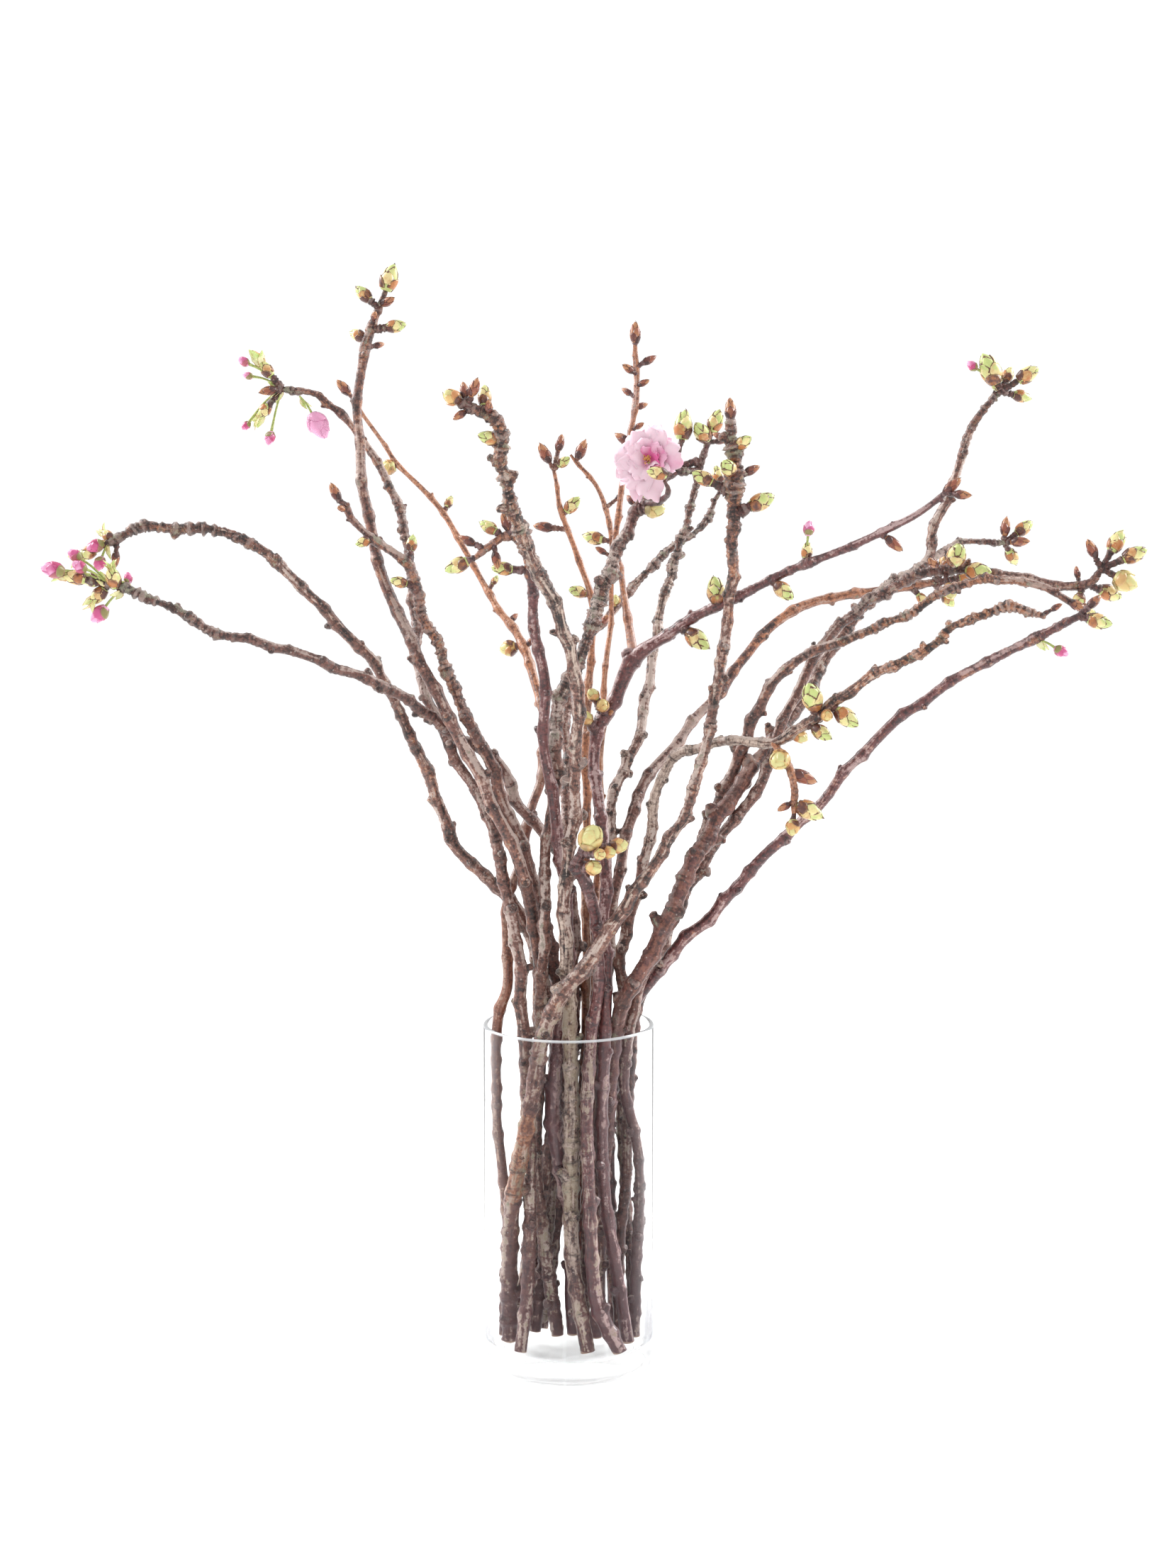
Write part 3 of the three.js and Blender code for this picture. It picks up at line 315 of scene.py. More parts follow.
            (37, 18, 192, 8), (38, 18, 16, 8),
        ],
        "brown": [(345, -35, 541, 13)], "green": [(353, -28, 537, 12)],
    },
    "right_orange": {
        "bark": "tan", "like": "grey",
        "warm": [(0, 0.7), (110, 0.6), (190, 0.25), (300, 0.1), (450, 0.05)],
        "route": [
            (275, 170, 546, 6), (226, 162, 539, 7), (183, 152, 533, 7.5), (148, 138, 514, 7.5),
            (112, 112, 471, 7.5), (76, 86, 434, 7.5), (54, 68, 410, 8), (41, 50, 381, 8),
            (33, 34, 343, 8), (30, 24, 298, 8), (30, 22, 263, 8), (25, 22, 181, 8), (21, 18, 16, 8),
        ],
        "green": [(285, 168, 564, 19), (300, 172, 549, 16), (264, 163, 533, 10), (285, 174, 532, 12)],
        "brown": [(263, 173, 553, 10)],
    },
    "right_drooping": {
        "bark": "grey", "warm": [(0, 0.5), (120, 0.35), (230, 0.2), (300, 0)],
        "pale": [(0, 0.15), (150, 0.15), (240, 0.7), (330, 0.6), (400, 0.1)], "twig_warm": 1.0,
        "route": [
            (313, -96, 538, 5), (290, -94, 544, 5.5), (257, -88, 531, 6), (238, -84, 515, 6.5),
            (205, -74, 498, 7), (179, -64, 478, 7), (139, -46, 449, 7), (113, -32, 449, 6.5),
            (92, -20, 443, 6.5), (75, -12, 437, 7), (62, -4, 414, 7), (57, 2, 378, 7.5),
            (51, 6, 345, 7.5), (45, 10, 316, 8), (39, 12, 285, 8), (37, 14, 254, 8), (33, 28, 189, 8),
            (44, 20, 16, 8),
        ],
        "twig": [(152, -66, 402, 4), (152, -64, 419, 4.5), (150, -60, 435, 5), (142, -47, 449, 5)],
        "green": [(163, -68, 483, 20), (187, -70, 468, 17), (171, -62, 457, 14), (163, -67, 405, 18)],
        "round": [(173, -73, 470, 9), (142, -63, 439, 16), (157, -52, 454, 11), (151, -69, 394, 11)],
        "brown": [(320, -97, 544, 8), (159, -60, 427, 18), (145, -68, 408, 10)],
    },
    "right_low": {
        "bark": "red", "warm": [(0, 0.15), (250, 0.1), (400, 0.05)], "pale": [(0, -0.15), (400, -0.2)],
        "route": [
            (343, -60, 536, 6), (322, -58, 525, 6.5), (285, -54, 506, 7), (251, -48, 485, 7),
            (222, -40, 462, 7.5), (197, -32, 436, 7.5), (176, -26, 406, 7.5), (136, -20, 371, 8),
            (99, -12, 326, 8.5), (68, -6, 291, 9), (45, 4, 249, 9), (38, 14, 211, 9), (33, 28, 158, 9),
            (36, 34, 16, 9),
        ],
        "pink": [(330, -61, 512, 8)], "green": [(355, -64, 532, 15)], "brown": [(352, -57, 545, 12)],
    },
    "short_front": {
        "bark": "red", "pale": [(0, 0), (110, 0), (150, 0.45), (260, 0.4), (370, 0.1)],
        "route": [
            (10, -56, 377, 7), (7, -52, 364, 8), (15, -40, 342, 8.5), (21, -28, 313, 8.5),
            (20, -26, 273, 8.5), (16, -26, 240, 9), (13, -28, 193, 9.5), (14, -28, 122, 9.5),
            (16, -26, 70, 10), (20, -26, 47, 11), (36, -30, 16, 11),
        ],
        "round": [
            (16, -62, 387, 19), (22, -68, 376, 9), (28, -59, 376, 10), (35, -55, 380, 12),
            (18, -62, 366, 12),
        ],
    },
}

# ---- Branches: how they stand -----------------------------------------------------------------
# The branches stand loose on the vase's inner floor, and lean on its wall and on each other. Each
# is a run of rings along its route, and the rings are eased apart until no two barks meet.
VASE_RADIUS, _, VASE_HEIGHT = (round(edge * 1000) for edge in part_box("vase")[1])
WALL = 3.5
FLOOR_TOP = 16
FLOOR_EDGE = 1.5
RING_STEP = 34
STEM_GAP = 0.7
GLASS_GAP = 0.9
# A knuckle stands out from the stem by this share of its girth.
KNUCKLE = 0.07


def catmull_rom(knots, k, t):
    """A point t of the way from knot k to the next on the smooth curve through all the knots."""
    here, after = knots[k], knots[k + 1]
    before = knots[k - 1] if k > 0 else 2 * here - after
    beyond = knots[k + 2] if k + 2 < len(knots) else 2 * after - here
    bend = (2 * before - 5 * here + 4 * after - beyond) * t * t
    turn = (3 * here - before - 3 * after + beyond) * t * t * t
    return here + ((after - before) * t + bend + turn) / 2


def stations(knots, pitch):
    """Places about a pitch apart on a route: the knot before each, and the share of the way on."""
    for k in range(len(knots) - 1):
        steps = max(1, int(np.linalg.norm(knots[k + 1, :3] - knots[k, :3]) / pitch + 0.5))
        for s in range(steps):
            yield k, s / steps


def rings_of(route):
    """Rings along a route, each its middle and its half girth."""
    knots = np.array(route, float)
    knots[:, 3] /= 2
    rings = []
    for k, t in stations(knots, RING_STEP):
        half = knots[k, 3] + (knots[k + 1, 3] - knots[k, 3]) * t
        rings.append([*catmull_rom(knots[:, :3], k, t), half])
    return np.array([*rings, knots[-1]])


stems = []
for name, branch in BRANCHES.items():
    rings = rings_of(branch["route"])
    rings[-1, 2] = FLOOR_TOP + 0.3
    stems.append({"branch": name, "rings": rings, "seat": None})
    if "twig" in branch:
        twig = rings_of(branch["twig"])
        seat = int(np.argmin(np.linalg.norm(rings[:, :3] - twig[-1, :3], axis=1)))
        stems.append({"branch": name, "rings": twig, "seat": seat})


def clamp01(values):
    return np.clip(values, 0, 1)


def closest(a, b, c, d):
    """Where the stretches a-b and c-d come closest: the share along each, and the step between."""
    u, v, w = b - a, d - c, a - c
    uu, uv, vv = (u * u).sum(-1), (u * v).sum(-1), (v * v).sum(-1)
    uw, vw = (u * w).sum(-1), (v * w).sum(-1)
    spread = uu * vv - uv * uv
    tilted = spread > 1e-9 * uu * vv
    s = np.where(tilted, clamp01((uv * vw - vv * uw) / np.where(tilted, spread, 1)), 0.5)
    t = clamp01((uv * s + vw) / vv)
    s = clamp01((uv * t - uw) / uu)
    return s, t, c + v * t[..., None] - a - u * s[..., None]


# Loose branches push each other aside until their bark is clear, mostly to the front and back, and
# the glass holds them in. A push moves a ring, and the rings beside it by a share of it.
ROUNDS = 260
LOOK_ROUND = 16
SIDEWAYS = 0.45
GIVE = 0.3
LONGEST_STEP = 1.2
BESIDE = (0.3, 0.6, 0.85, 1, 0.85, 0.6, 0.3)
places = np.concatenate([stem["rings"][:, :3] for stem in stems])
halves = np.concatenate([stem["rings"][:, 3] for stem in stems])
starts = np.cumsum([0] + [len(stem["rings"]) for stem in stems])
share = np.zeros((len(places), len(places)))
for start, stop in zip(starts, starts[1:]):
    for k in range(start, stop):
        for m, part in zip(range(-3, 4), BESIDE):
            if start <= k + m < stop:
                share[k, k + m] = part
stretch_at = np.concatenate([np.arange(start, stop - 1) for start, stop in zip(starts, starts[1:])])
stem_of = np.concatenate([[n] * (len(stem["rings"]) - 1) for n, stem in enumerate(stems)])
owner = np.array([list(BRANCHES).index(stems[n]["branch"]) for n in stem_of])
one, other = np.nonzero((stem_of[:, None] < stem_of[None]) & (owner[:, None] != owner[None]))
thickest = np.maximum(halves[stretch_at], halves[stretch_at + 1])
wanted = (thickest[one] + thickest[other] + STEM_GAP) * (1 + KNUCKLE)
for _ in range(ROUNDS):
    a, b = places[stretch_at], places[stretch_at + 1]
    low, high = np.minimum(a, b), np.maximum(a, b)
    near = (low[one] < high[other] + LOOK_ROUND).all(1) & (low[other] < high[one] + LOOK_ROUND).all(1)
    i, j = one[near], other[near]
    s, t, step = closest(a[i], b[i], a[j], b[j])
    distance = np.linalg.norm(step, axis=1)
    lack = wanted[near] - distance
    way = step[:, :2] / distance[:, None] * (SIDEWAYS, 1)
    length = np.hypot(way[:, 0], way[:, 1])
    steep = length < 0.15
    way = way / np.where(steep, 1, length)[:, None]
    way[steep] = np.stack([0 * length[steep], np.where(step[steep, 1] < 0, -1, 1)], 1)
    push = way * (np.maximum(lack, 0) * GIVE)[:, None]
    pushes = np.zeros((len(places), 2))
    np.add.at(pushes, stretch_at[i], -push * (1 - s)[:, None])
    np.add.at(pushes, stretch_at[i] + 1, -push * s[:, None])
    np.add.at(pushes, stretch_at[j], push * (1 - t)[:, None])
    np.add.at(pushes, stretch_at[j] + 1, push * t[:, None])
    places[:, :2] += np.clip(share @ pushes, -LONGEST_STEP, LONGEST_STEP)
    corner = np.where(places[:, 2] < FLOOR_TOP + 4 * FLOOR_EDGE, 2 * FLOOR_EDGE, 0)
    room = VASE_RADIUS - WALL - corner - halves * (1 + KNUCKLE) - GLASS_GAP
    out = np.hypot(places[:, 0], places[:, 1])
    held = (places[:, 2] < VASE_HEIGHT + 2 * halves) & (out > room)
    places[held, :2] *= (room / out)[held, None]
    for n, stem in enumerate(stems):
        if stem["seat"] is not None:
            places[starts[n + 1] - 1] = places[starts[n - 1] + stem["seat"]]
for n, stem in enumerate(stems):
    stem["rings"][:, :3] = places[starts[n] : starts[n + 1]]

# Every bud stands on the nearest wood, a little below its own height, and leans clear of the other
# branches. Buds are placed branch by branch, the green ones first. FULLNESS is girth over length.
FULLNESS = {"green": 0.6, "brown": 0.44, "round": 0.82, "pink": 0.66}
TRIES = 24
BUD_GAP = 0.5
SMALLEST_LEAN = 0.6
stretch_a = [places[k] for k in stretch_at]
stretch_b = [places[k + 1] for k in stretch_at]
stretch_r = [half * (1 + KNUCKLE) for half in thickest]
stretch_owner = list(owner)
buds = []


def root_of(name, bud):
    """Where a bud stands on its branch: a point in the stem, and the stem's half girth there."""
    found = []
    for stem in stems:
        if stem["branch"] == name:
            rings = stem["rings"]
            a, b = rings[:-1, :3], rings[1:, :3]
            along = clamp01(((bud - a) * (b - a)).sum(1) / ((b - a) ** 2).sum(1))
            away = np.linalg.norm(a + (b - a) * along[:, None] - bud, axis=1)
            k = int(np.argmin(away))
            found.append((away[k], k, along[k], rings))
    away, k, s, rings = min(found, key=lambda nearest: nearest[0])
    down = 2 if k + s < 0.02 else 0.5 * away
    s += down / np.linalg.norm(rings[k + 1, :3] - rings[k, :3])
    if s > 1 and k + 2 < len(rings):
        k += 1
        s -= 1
    ring = rings[k] + (rings[k + 1] - rings[k]) * min(1, s)
    return ring[:3], ring[3]


def leans_clear(bud, root, girth, mine):
    """Moves a bud to the front or back until it is clear, and says whether that worked."""
    others = np.array(stretch_owner) != mine
    a, b = np.array(stretch_a)[others], np.array(stretch_b)[others]
    thick = np.array(stretch_r)[others]
    for _ in range(TRIES):
        tip = bud + (bud - root) * 0.5
        _, _, step = closest(root[None], tip[None], a, b)
        lack = girth / 2 + thick + BUD_GAP - np.linalg.norm(step, axis=1)
        worst = int(np.argmax(lack))
        if lack[worst] <= 0:
            return True
        bud[1] += (-1 if step[worst, 1] > 0 else 1) * max(SMALLEST_LEAN, lack[worst])
    return False


for mine, (name, branch) in enumerate(BRANCHES.items()):
    for kind, fullness in FULLNESS.items():
        for *middle, length in branch.get(kind, []):
            bud = np.array(middle, float)
            root, half = root_of(name, bud)
            if not leans_clear(bud, root, length * fullness, mine):
                continue
            stretch_a.append(root)
            stretch_b.append(bud + (bud - root) * 0.5)
            stretch_r.append(length * fullness / 2)
            stretch_owner.append(mine)
            buds.append({"branch": name, "kind": kind, "middle": bud, "length": length, "root": root,
                         "half": half})

# ---- Branches: bark ---------------------------------------------------------------------------
# Round cherry wood with swollen knots, short stubs where shoots broke off, and ring scars across it.
# The bark is thin and tight: grey-brown with lichen on old wood, dark red on strong shoots and
# tan on last year's thin ones. It grows along each route in a Geometry Nodes tree.
class Wire:
    """A socket of a node tree. Arithmetic on it adds Math nodes."""

    def __init__(self, bench, socket):
        self.bench = bench
        self.socket = socket

    def sums(self, operation, *values):
        return self.bench.sums(operation, *values)

    def __add__(self, other):
        return self.sums("ADD", self, other)

    def __sub__(self, other):
        return self.sums("SUBTRACT", self, other)

    def __rsub__(self, other):
        return self.sums("SUBTRACT", other, self)

    def __mul__(self, other):
        return self.sums("MULTIPLY", self, other)

    def __truediv__(self, other):
        return self.sums("DIVIDE", self, other)

    def __pow__(self, other):
        return self.sums("POWER", self, other)

    __radd__ = __add__
    __rmul__ = __mul__

    def ramp(self, low, high):
        """0 below low, 1 above high, and smooth between them."""
        settings = {"interpolation_type": "SMOOTHSTEP"}
        return self.bench.put("ShaderNodeMapRange", settings, {0: self, 1: low, 2: high})


class Bench:
    """A node tree under the maker's hands."""

    def __init__(self, tree):
        self.tree = tree

    def put(self, kind, settings=None, sockets=None, out=0):
        """A node with its settings, then its sockets. A colour is three numbers."""
        node = self.tree.nodes.new(kind)
        for name, value in (settings or {}).items():
            setattr(node, name, value)
        for name, value in (sockets or {}).items():
            if isinstance(value, Wire):
                self.tree.links.new(value.socket, node.inputs[name])
            else:
                colour = node.inputs[name].type == "RGBA"
                node.inputs[name].default_value = (*value, 1) if colour else value
        return Wire(self, node.outputs[out]) if len(node.outputs) else node

    def sums(self, operation, *values):
        return self.put("ShaderNodeMath", {"operation": operation}, dict(enumerate(values)))

    def blend(self, share, first, second):
        sockets = {0: share, 6: first, 7: second}
        return self.put("ShaderNodeMix", {"data_type": "RGBA"}, sockets, 2)

    def noise(self, vector, scale, detail=2.0, roughness=0.5, w=None):
        sockets = {"Vector": vector, "Scale": scale, "Detail": detail, "Roughness": roughness}
        if w is None:
            return self.put("ShaderNodeTexNoise", {}, sockets, "Fac")
        return self.put("ShaderNodeTexNoise", {"noise_dimensions": "4D"}, {**sockets, "W": w}, "Fac")

    def place(self):
        return self.put("ShaderNodeTexCoord", out="Object")

    def read(self, label, out="Fac"):
        return self.put("ShaderNodeAttribute", {"attribute_name": label}, out=out)

    def bump(self, strength, distance, height):
        sockets = {"Strength": strength, "Distance": distance, "Height": height}
        return self.put("ShaderNodeBump", {}, sockets)


def finish_bench(name):
    finish = bpy.data.materials.new(name)
    finish.use_nodes = True
    finish.node_tree.nodes.clear()
    return finish, Bench(finish.node_tree)


def surface(bench, sockets):
    shader = bench.put("ShaderNodeBsdfPrincipled", {}, sockets)
    bench.put("ShaderNodeOutputMaterial", {}, {"Surface": shader})


def bark_finish(name, furrow, skin, film, lichen, film_from, lichen_from, gloss, coat):
    finish, bench = finish_bench(name)
    place = bench.place()
    height = bench.put("ShaderNodeSeparateXYZ", {}, {0: place}, "Z")
    along, knot, crowd, ridge, sky, pale, warm = (
        bench.read(label) for label in ("along", "knot", "crowd", "ridge", "sky", "pale", "warm"))
    # Round a stem the noises turn with its outward direction, so they can be drawn out along it.
    outward = bench.read("outward", "Vector")
    streaks = bench.noise(outward, 2.6, 3.0, 0.6, w=along * 48.0)
    patches = bench.noise(outward, 0.8, 2.0, 0.5, w=along * 22.0)
    rings = bench.noise(outward, 0.55, 3.0, 0.6, w=along * 620.0)
    grain = bench.noise(place, 520.0, 4.0, 0.65)
    blots = bench.noise(place, 190.0, 3.0, 0.6)
    strokes = bench.noise(outward, 2.2, 3.0, 0.55, w=along * 19.0)
    figure = (strokes * 0.5 + grain * 0.5).ramp(0.42, 0.58)
    rough = (crowd * 0.9 + knot * 0.3).ramp(0.2, 0.95)
    smooth_mix = strokes * 0.2 + blots * 0.35 + grain * 0.35 + patches * 0.35 + 0.07
    rough_mix = grain * 0.55 + streaks * 0.4 + blots * 0.4
    mix = rough_mix * rough + smooth_mix * (1 - rough)
    colour = bench.blend((mix - 0.17).ramp(0.41, 0.57), furrow, skin)
    # Each branch has its own warmth and paleness, which come in patches that meet as they rise.
    warm_grain = (strokes * 0.4 + grain * 0.4 + blots * 0.2).ramp(0.41, 0.57)
    warm_wood = bench.blend(warm_grain, (0.13, 0.042, 0.022), (0.53, 0.215, 0.10))
    warm_here = (patches * 0.45 + blots * 0.55 + warm * 0.33).ramp(0.565, 0.645)
    colour = bench.blend(warm_here * 0.92, colour, warm_wood)
    pale_wood = bench.blend(figure, (0.22, 0.15, 0.12), (0.60, 0.48, 0.40))
    pale_here = (strokes * 0.6 + blots * 0.4 + pale * 0.3).ramp(0.56, 0.66)
    colour = bench.blend(pale_here * 0.85, colour, pale_wood)
    # A thin grey film lies in long streaks, more of it on the upward side, which is partly weathering and
    # partly painted light from above, and the lower wood is olive in places.
    film_here = strokes * 0.22 + patches * 0.6 + blots * 0.3 + sky * 0.13 + grain * 0.2 - rough * 0.05
    film_here = (film_here - film_from).ramp(0.01, 0.09) * (1 - warm * 0.7)
    colour = bench.blend(film_here * 0.95, colour, film)
    olive = (patches * 0.45 + blots * 0.35 + grain * 0.2 + pale * 0.12).ramp(0.53, 0.6)
    colour = bench.blend(olive * (1 - height.ramp(0.24, 0.33)) * 0.7, colour, (0.25, 0.195, 0.12))
    # Paleness goes below zero, to the dark red-brown wood round the buds.
    dark_wood = bench.blend(figure, (0.05, 0.017, 0.016), (0.145, 0.046, 0.041))
    colour = bench.blend(0 - pale, colour, dark_wood)
    # Fine rings cross the stem, dark in the hollows and pale on the lips.
    dark_rings = (rings + rough * 0.1 - ridge * 0.12 - 0.03).ramp(0.48, 0.62)
    colour = bench.blend(dark_rings * 0.7, colour, furrow)
    hollow = (1 - ridge.ramp(0.05, 0.5)) * (crowd * 0.9 + knot * 0.35).ramp(0.15, 0.7)
    colour = bench.blend(hollow * 0.8, colour, furrow)
    lip = (ridge * 0.7 + grain * 0.5).ramp(0.78, 1.05) * crowd
    colour = bench.blend(lip * 0.35, colour, film)
    specks = bench.put("ShaderNodeTexVoronoi", {}, {"Vector": place, "Scale": 230.0}, "Distance")
    colour = bench.blend((1 - specks.ramp(0.08, 0.2)) * 0.5, colour, film)
    crust = blots * 0.55 + patches * 0.35 + grain * 0.3 + knot * 0.07 + crowd * 0.06
    crust = crust.ramp(lichen_from, lichen_from + 0.08)
    colour = bench.blend(crust * 0.75, colour, lichen)
    # The downward-facing side is darkened towards the furrow colour: painted shade.
    colour = bench.blend((1 - sky.ramp(0.06, 0.42)) * 0.45, colour, furrow)
    # Wood that stands in the vase is darker and more purple, most of all towards its floor: painted shade
    # among the crowded stems behind the glass. Its cut foot is pale.
    inside = 1 - height.ramp(0.225, 0.262)
    vase_shade = inside * (1 - film_here) * (0.66 - pale * 0.5 - height.ramp(0.03, 0.12) * 0.3)
    colour = bench.blend(vase_shade, colour, (0.060, 0.017, 0.023))
    foot = 1 - height.ramp(0.0166, 0.0176)
    colour = bench.blend(foot * 0.7, colour, (0.42, 0.28, 0.20))
    relief = rings * (rough * 0.4 + 0.3) + grain * (rough * 0.25 + 0.25)
    relief = relief + strokes * 0.07 + blots * 0.2 + crust * 0.2
    surface(bench, {
        "Base Color": colour, "Roughness": crust * 0.2 + rings * 0.2 + gloss,
        "Normal": bench.bump(1.0, 0.0018, relief), "Coat Weight": coat, "Coat Roughness": 0.22,
        "Sheen Weight": 0.2, "Sheen Roughness": 0.3, "Sheen Tint": (1.0, 0.86, 0.84)})
    return finish


bark_finishes = {
    "grey": bark_finish("bark of old wood", (0.018, 0.011, 0.010), (0.205, 0.086, 0.062),
                        (0.50, 0.405, 0.36), (0.27, 0.265, 0.19), 0.725, 0.75, 0.4, 0.12),
    "red": bark_finish("bark of a strong shoot", (0.024, 0.008, 0.010), (0.15, 0.038, 0.036),
                       (0.48, 0.34, 0.33), (0.36, 0.32, 0.27), 0.735, 0.80, 0.28, 0.3),
    "tan": bark_finish("bark of a thin shoot", (0.10, 0.034, 0.020), (0.37, 0.14, 0.066),
                       (0.60, 0.42, 0.32), (0.38, 0.32, 0.23), 0.735, 0.80, 0.3, 0.3),
}


def tree_of_nodes(name, inputs):
    """A new Geometry Nodes tree with a geometry in and out, and its other inputs by name."""
    tree = bpy.data.node_groups.new(name, "GeometryNodeTree")
    tree.interface.new_socket("Geometry", in_out="INPUT", socket_type="NodeSocketGeometry")
    for label, kind in inputs.items():
        tree.interface.new_socket(label, in_out="INPUT", socket_type="NodeSocket" + kind)
    tree.interface.new_socket("Geometry", in_out="OUTPUT", socket_type="NodeSocketGeometry")
    bench = Bench(tree)
    group = tree.nodes.new("NodeGroupInput")
    return bench, {socket.name: Wire(bench, socket) for socket in group.outputs if socket.name}


def attribute(bench, kind, name):
    return bench.put("GeometryNodeInputNamedAttribute", {"data_type": kind}, {"Name": name})


def close_tree(bench, grown, finish):
    """The end of a tree: real geometry in one finish."""
    grown = bench.put("GeometryNodeRealizeInstances", {}, {"Geometry": grown})
    grown = bench.put("GeometryNodeSetMaterial", {}, {"Geometry": grown, "Material": finish})
    bench.put("NodeGroupOutput", {}, {"Geometry": grown})


def dressed(name, mesh, bench, values):
    """The plain mesh that a tree makes out of a mesh of points or lines."""
    piece = stood(name, mesh)
    modifier = piece.modifiers.new("grow", "NODES")
    modifier.node_group = bench.tree
    for item in bench.tree.interface.items_tree:
        if item.in_out == "INPUT" and item.name in values:
            modifier[item.identifier] = values[item.name]
    grown = piece.evaluated_get(bpy.context.evaluated_depsgraph_get())
    plain = bpy.data.meshes.new_from_object(grown)
    piece.modifiers.remove(modifier)
    piece.data = plain
    plain.name = name
    plain.shade_smooth()
    return piece


RING_GAP = 0.0041
bark_bench, given = tree_of_nodes("bark along a route", {
    "Sides": "Int", "Knot swell": "Float", "Lump": "Float", "Grain": "Float", "Collar": "Float",
    "Seed": "Float", "Bark": "Material"})
half, run, swell, crowd = (
    attribute(bark_bench, "FLOAT", label) for label in ("half", "along", "knot", "crowd"))
line = bark_bench.put("GeometryNodeMeshToCurve", {}, {"Mesh": given["Geometry"]})
hoop = bark_bench.put("GeometryNodeCurvePrimitiveCircle", {}, {"Resolution": given["Sides"], "Radius": 1.0})
bark = bark_bench.put("GeometryNodeCurveToMesh", {}, {
    "Curve": line, "Profile Curve": hoop, "Scale": half, "Fill Caps": True})
place = bark_bench.put("GeometryNodeInputPosition")
shifted = bark_bench.put("ShaderNodeVectorMath", {"operation": "ADD"}, {0: place, 1: given["Seed"]})
lumps = bark_bench.noise(shifted, 95.0, 1.0)
grit = bark_bench.noise(shifted, 420.0, 2.0)
# Crowded ring scars make the wood bulge between sharp creases, each ring a little differently.
turns = run / RING_GAP + lumps * 2.6 + given["Seed"]
ring_height = bark_bench.put("ShaderNodeTexWhiteNoise", {"noise_dimensions": "1D"},
                             {"W": bark_bench.sums("FLOOR", turns)}, "Value")
bulge = bark_bench.sums("ABSOLUTE", bark_bench.sums("SINE", turns * math.pi)) ** 0.55
lip = bulge * (ring_height * 1.1 + 0.35) * (grit * 0.9 + 0.55)
rise = swell * given["Knot swell"] * (lumps + 0.45) + (lumps - 0.5) * given["Lump"] * (crowd * 0.9 + 0.25)
rise = rise + (grit - 0.5) * (crowd + 0.3) * given["Grain"] + (lip - 0.6) * crowd * given["Collar"]
outward = bark_bench.put("GeometryNodeInputNormal", out="Normal")
upward = bark_bench.put("ShaderNodeSeparateXYZ", {}, {0: outward}, "Z")
# sky is how far the bark faces up; the bark finish uses it for painted shade underneath and partly painted
# light on top.
for label, kind, value in (("outward", "FLOAT_VECTOR", outward), ("sky", "FLOAT", upward * 0.5 + 0.5),
                           ("ridge", "FLOAT", lip)):
    bark = bark_bench.put("GeometryNodeStoreNamedAttribute", {"data_type": kind, "domain": "POINT"},
                          {"Geometry": bark, "Name": label, "Value": value})
offset = bark_bench.put("ShaderNodeVectorMath", {"operation": "SCALE"}, {0: outward, "Scale": half * rise})
bark = bark_bench.put("GeometryNodeSetPosition", {}, {"Geometry": bark, "Offset": offset})
close_tree(bark_bench, bark, given["Bark"])


def smooth_line(rings, pitch):
    """Points about a pitch apart on the curve through the rings, with the half girth at each."""
    return np.array([catmull_rom(rings, k, t) for k, t in stations(rings, pitch)] + [rings[-1]])


def route_mesh(name, lines):
    """Separate lines of points in one mesh; each is (points, half, along, knot, crowd, warm, pale)."""
    mesh = bpy.data.meshes.new(name)
    points = np.concatenate([line[0] for line in lines]) / 1000
    edges = []
    first = 0
    for line in lines:
        edges += [(k, k + 1) for k in range(first, first + len(line[0]) - 1)]
        first += len(line[0])
    mesh.from_pydata(points.tolist(), edges, [])
    labels = ("half", "along", "knot", "crowd", "warm", "pale")[:len(lines[0]) - 1]
    for column, label in enumerate(labels, 1):
        scale = 0.001 if label in ("half", "along") else 1
        layer = mesh.attributes.new(label, "FLOAT", "POINT")
        layer.data.foreach_set("value", np.concatenate([line[column] for line in lines]) * scale)
    return mesh


# How far knots, lumps, grain and ring collars stand out, how crowded the rings are, how far apart
# and how long the stubs are, and how much the stem kinks at each.
WOOD = {
    "grey": {"Knot swell": 0.24, "Lump": 0.66, "Grain": 0.34, "Collar": 0.6, "crowd": 1.0,
             "stubs": 15, "stub": 1.1, "kink": 1.9},
    "red": {"Knot swell": 0.26, "Lump": 0.34, "Grain": 0.18, "Collar": 0.4, "crowd": 0.55,
            "stubs": 24, "stub": 0.95, "kink": 2.0},
    "tan": {"Knot swell": 0.28, "Lump": 0.26, "Grain": 0.14, "Collar": 0.3, "crowd": 0.3,
            "stubs": 24, "stub": 0.8, "kink": 1.5},
}
SIDES = 12
PITCH = 1.15
# Below these heights a stem has no kinks, and no stubs.
STRAIGHT_BELOW = VASE_HEIGHT + 4
BARE_BELOW = 30
STUB_SHARE = 0.8
STUB_PITCH = 1.1
# A stem swells over a short length at each knot. From its head down it is thinner for a little,
# dark for a little more, and crowded with rings for a long way, in slow waves.
KNOT_LENGTH = 3.6
THIN_HEAD = 10
DARK_HEAD = 24
CROWDED_HEAD = 170
CROWD_WAVE = 37
ON_STEM = 4


def across(down, turn):
    """A direction square to a stem, at a turn round it."""
    side = Vector(down).orthogonal().normalized()
    return np.array(Quaternion(Vector(down), turn) @ side)


def nodes_of(run, spacing, chance):
    """Where shoots once grew: each node's distance from the head, and its turn round the stem."""
    where = chance.uniform(6, 14)
    turn = chance.uniform(0, 6)
    nodes = []
    while where < run[-1] - 12:
        turn += 2.6 + chance.uniform(-0.6, 0.6)
        nodes.append((where, turn))
        where += spacing * chance.uniform(0.5, 1.7)
    return nodes


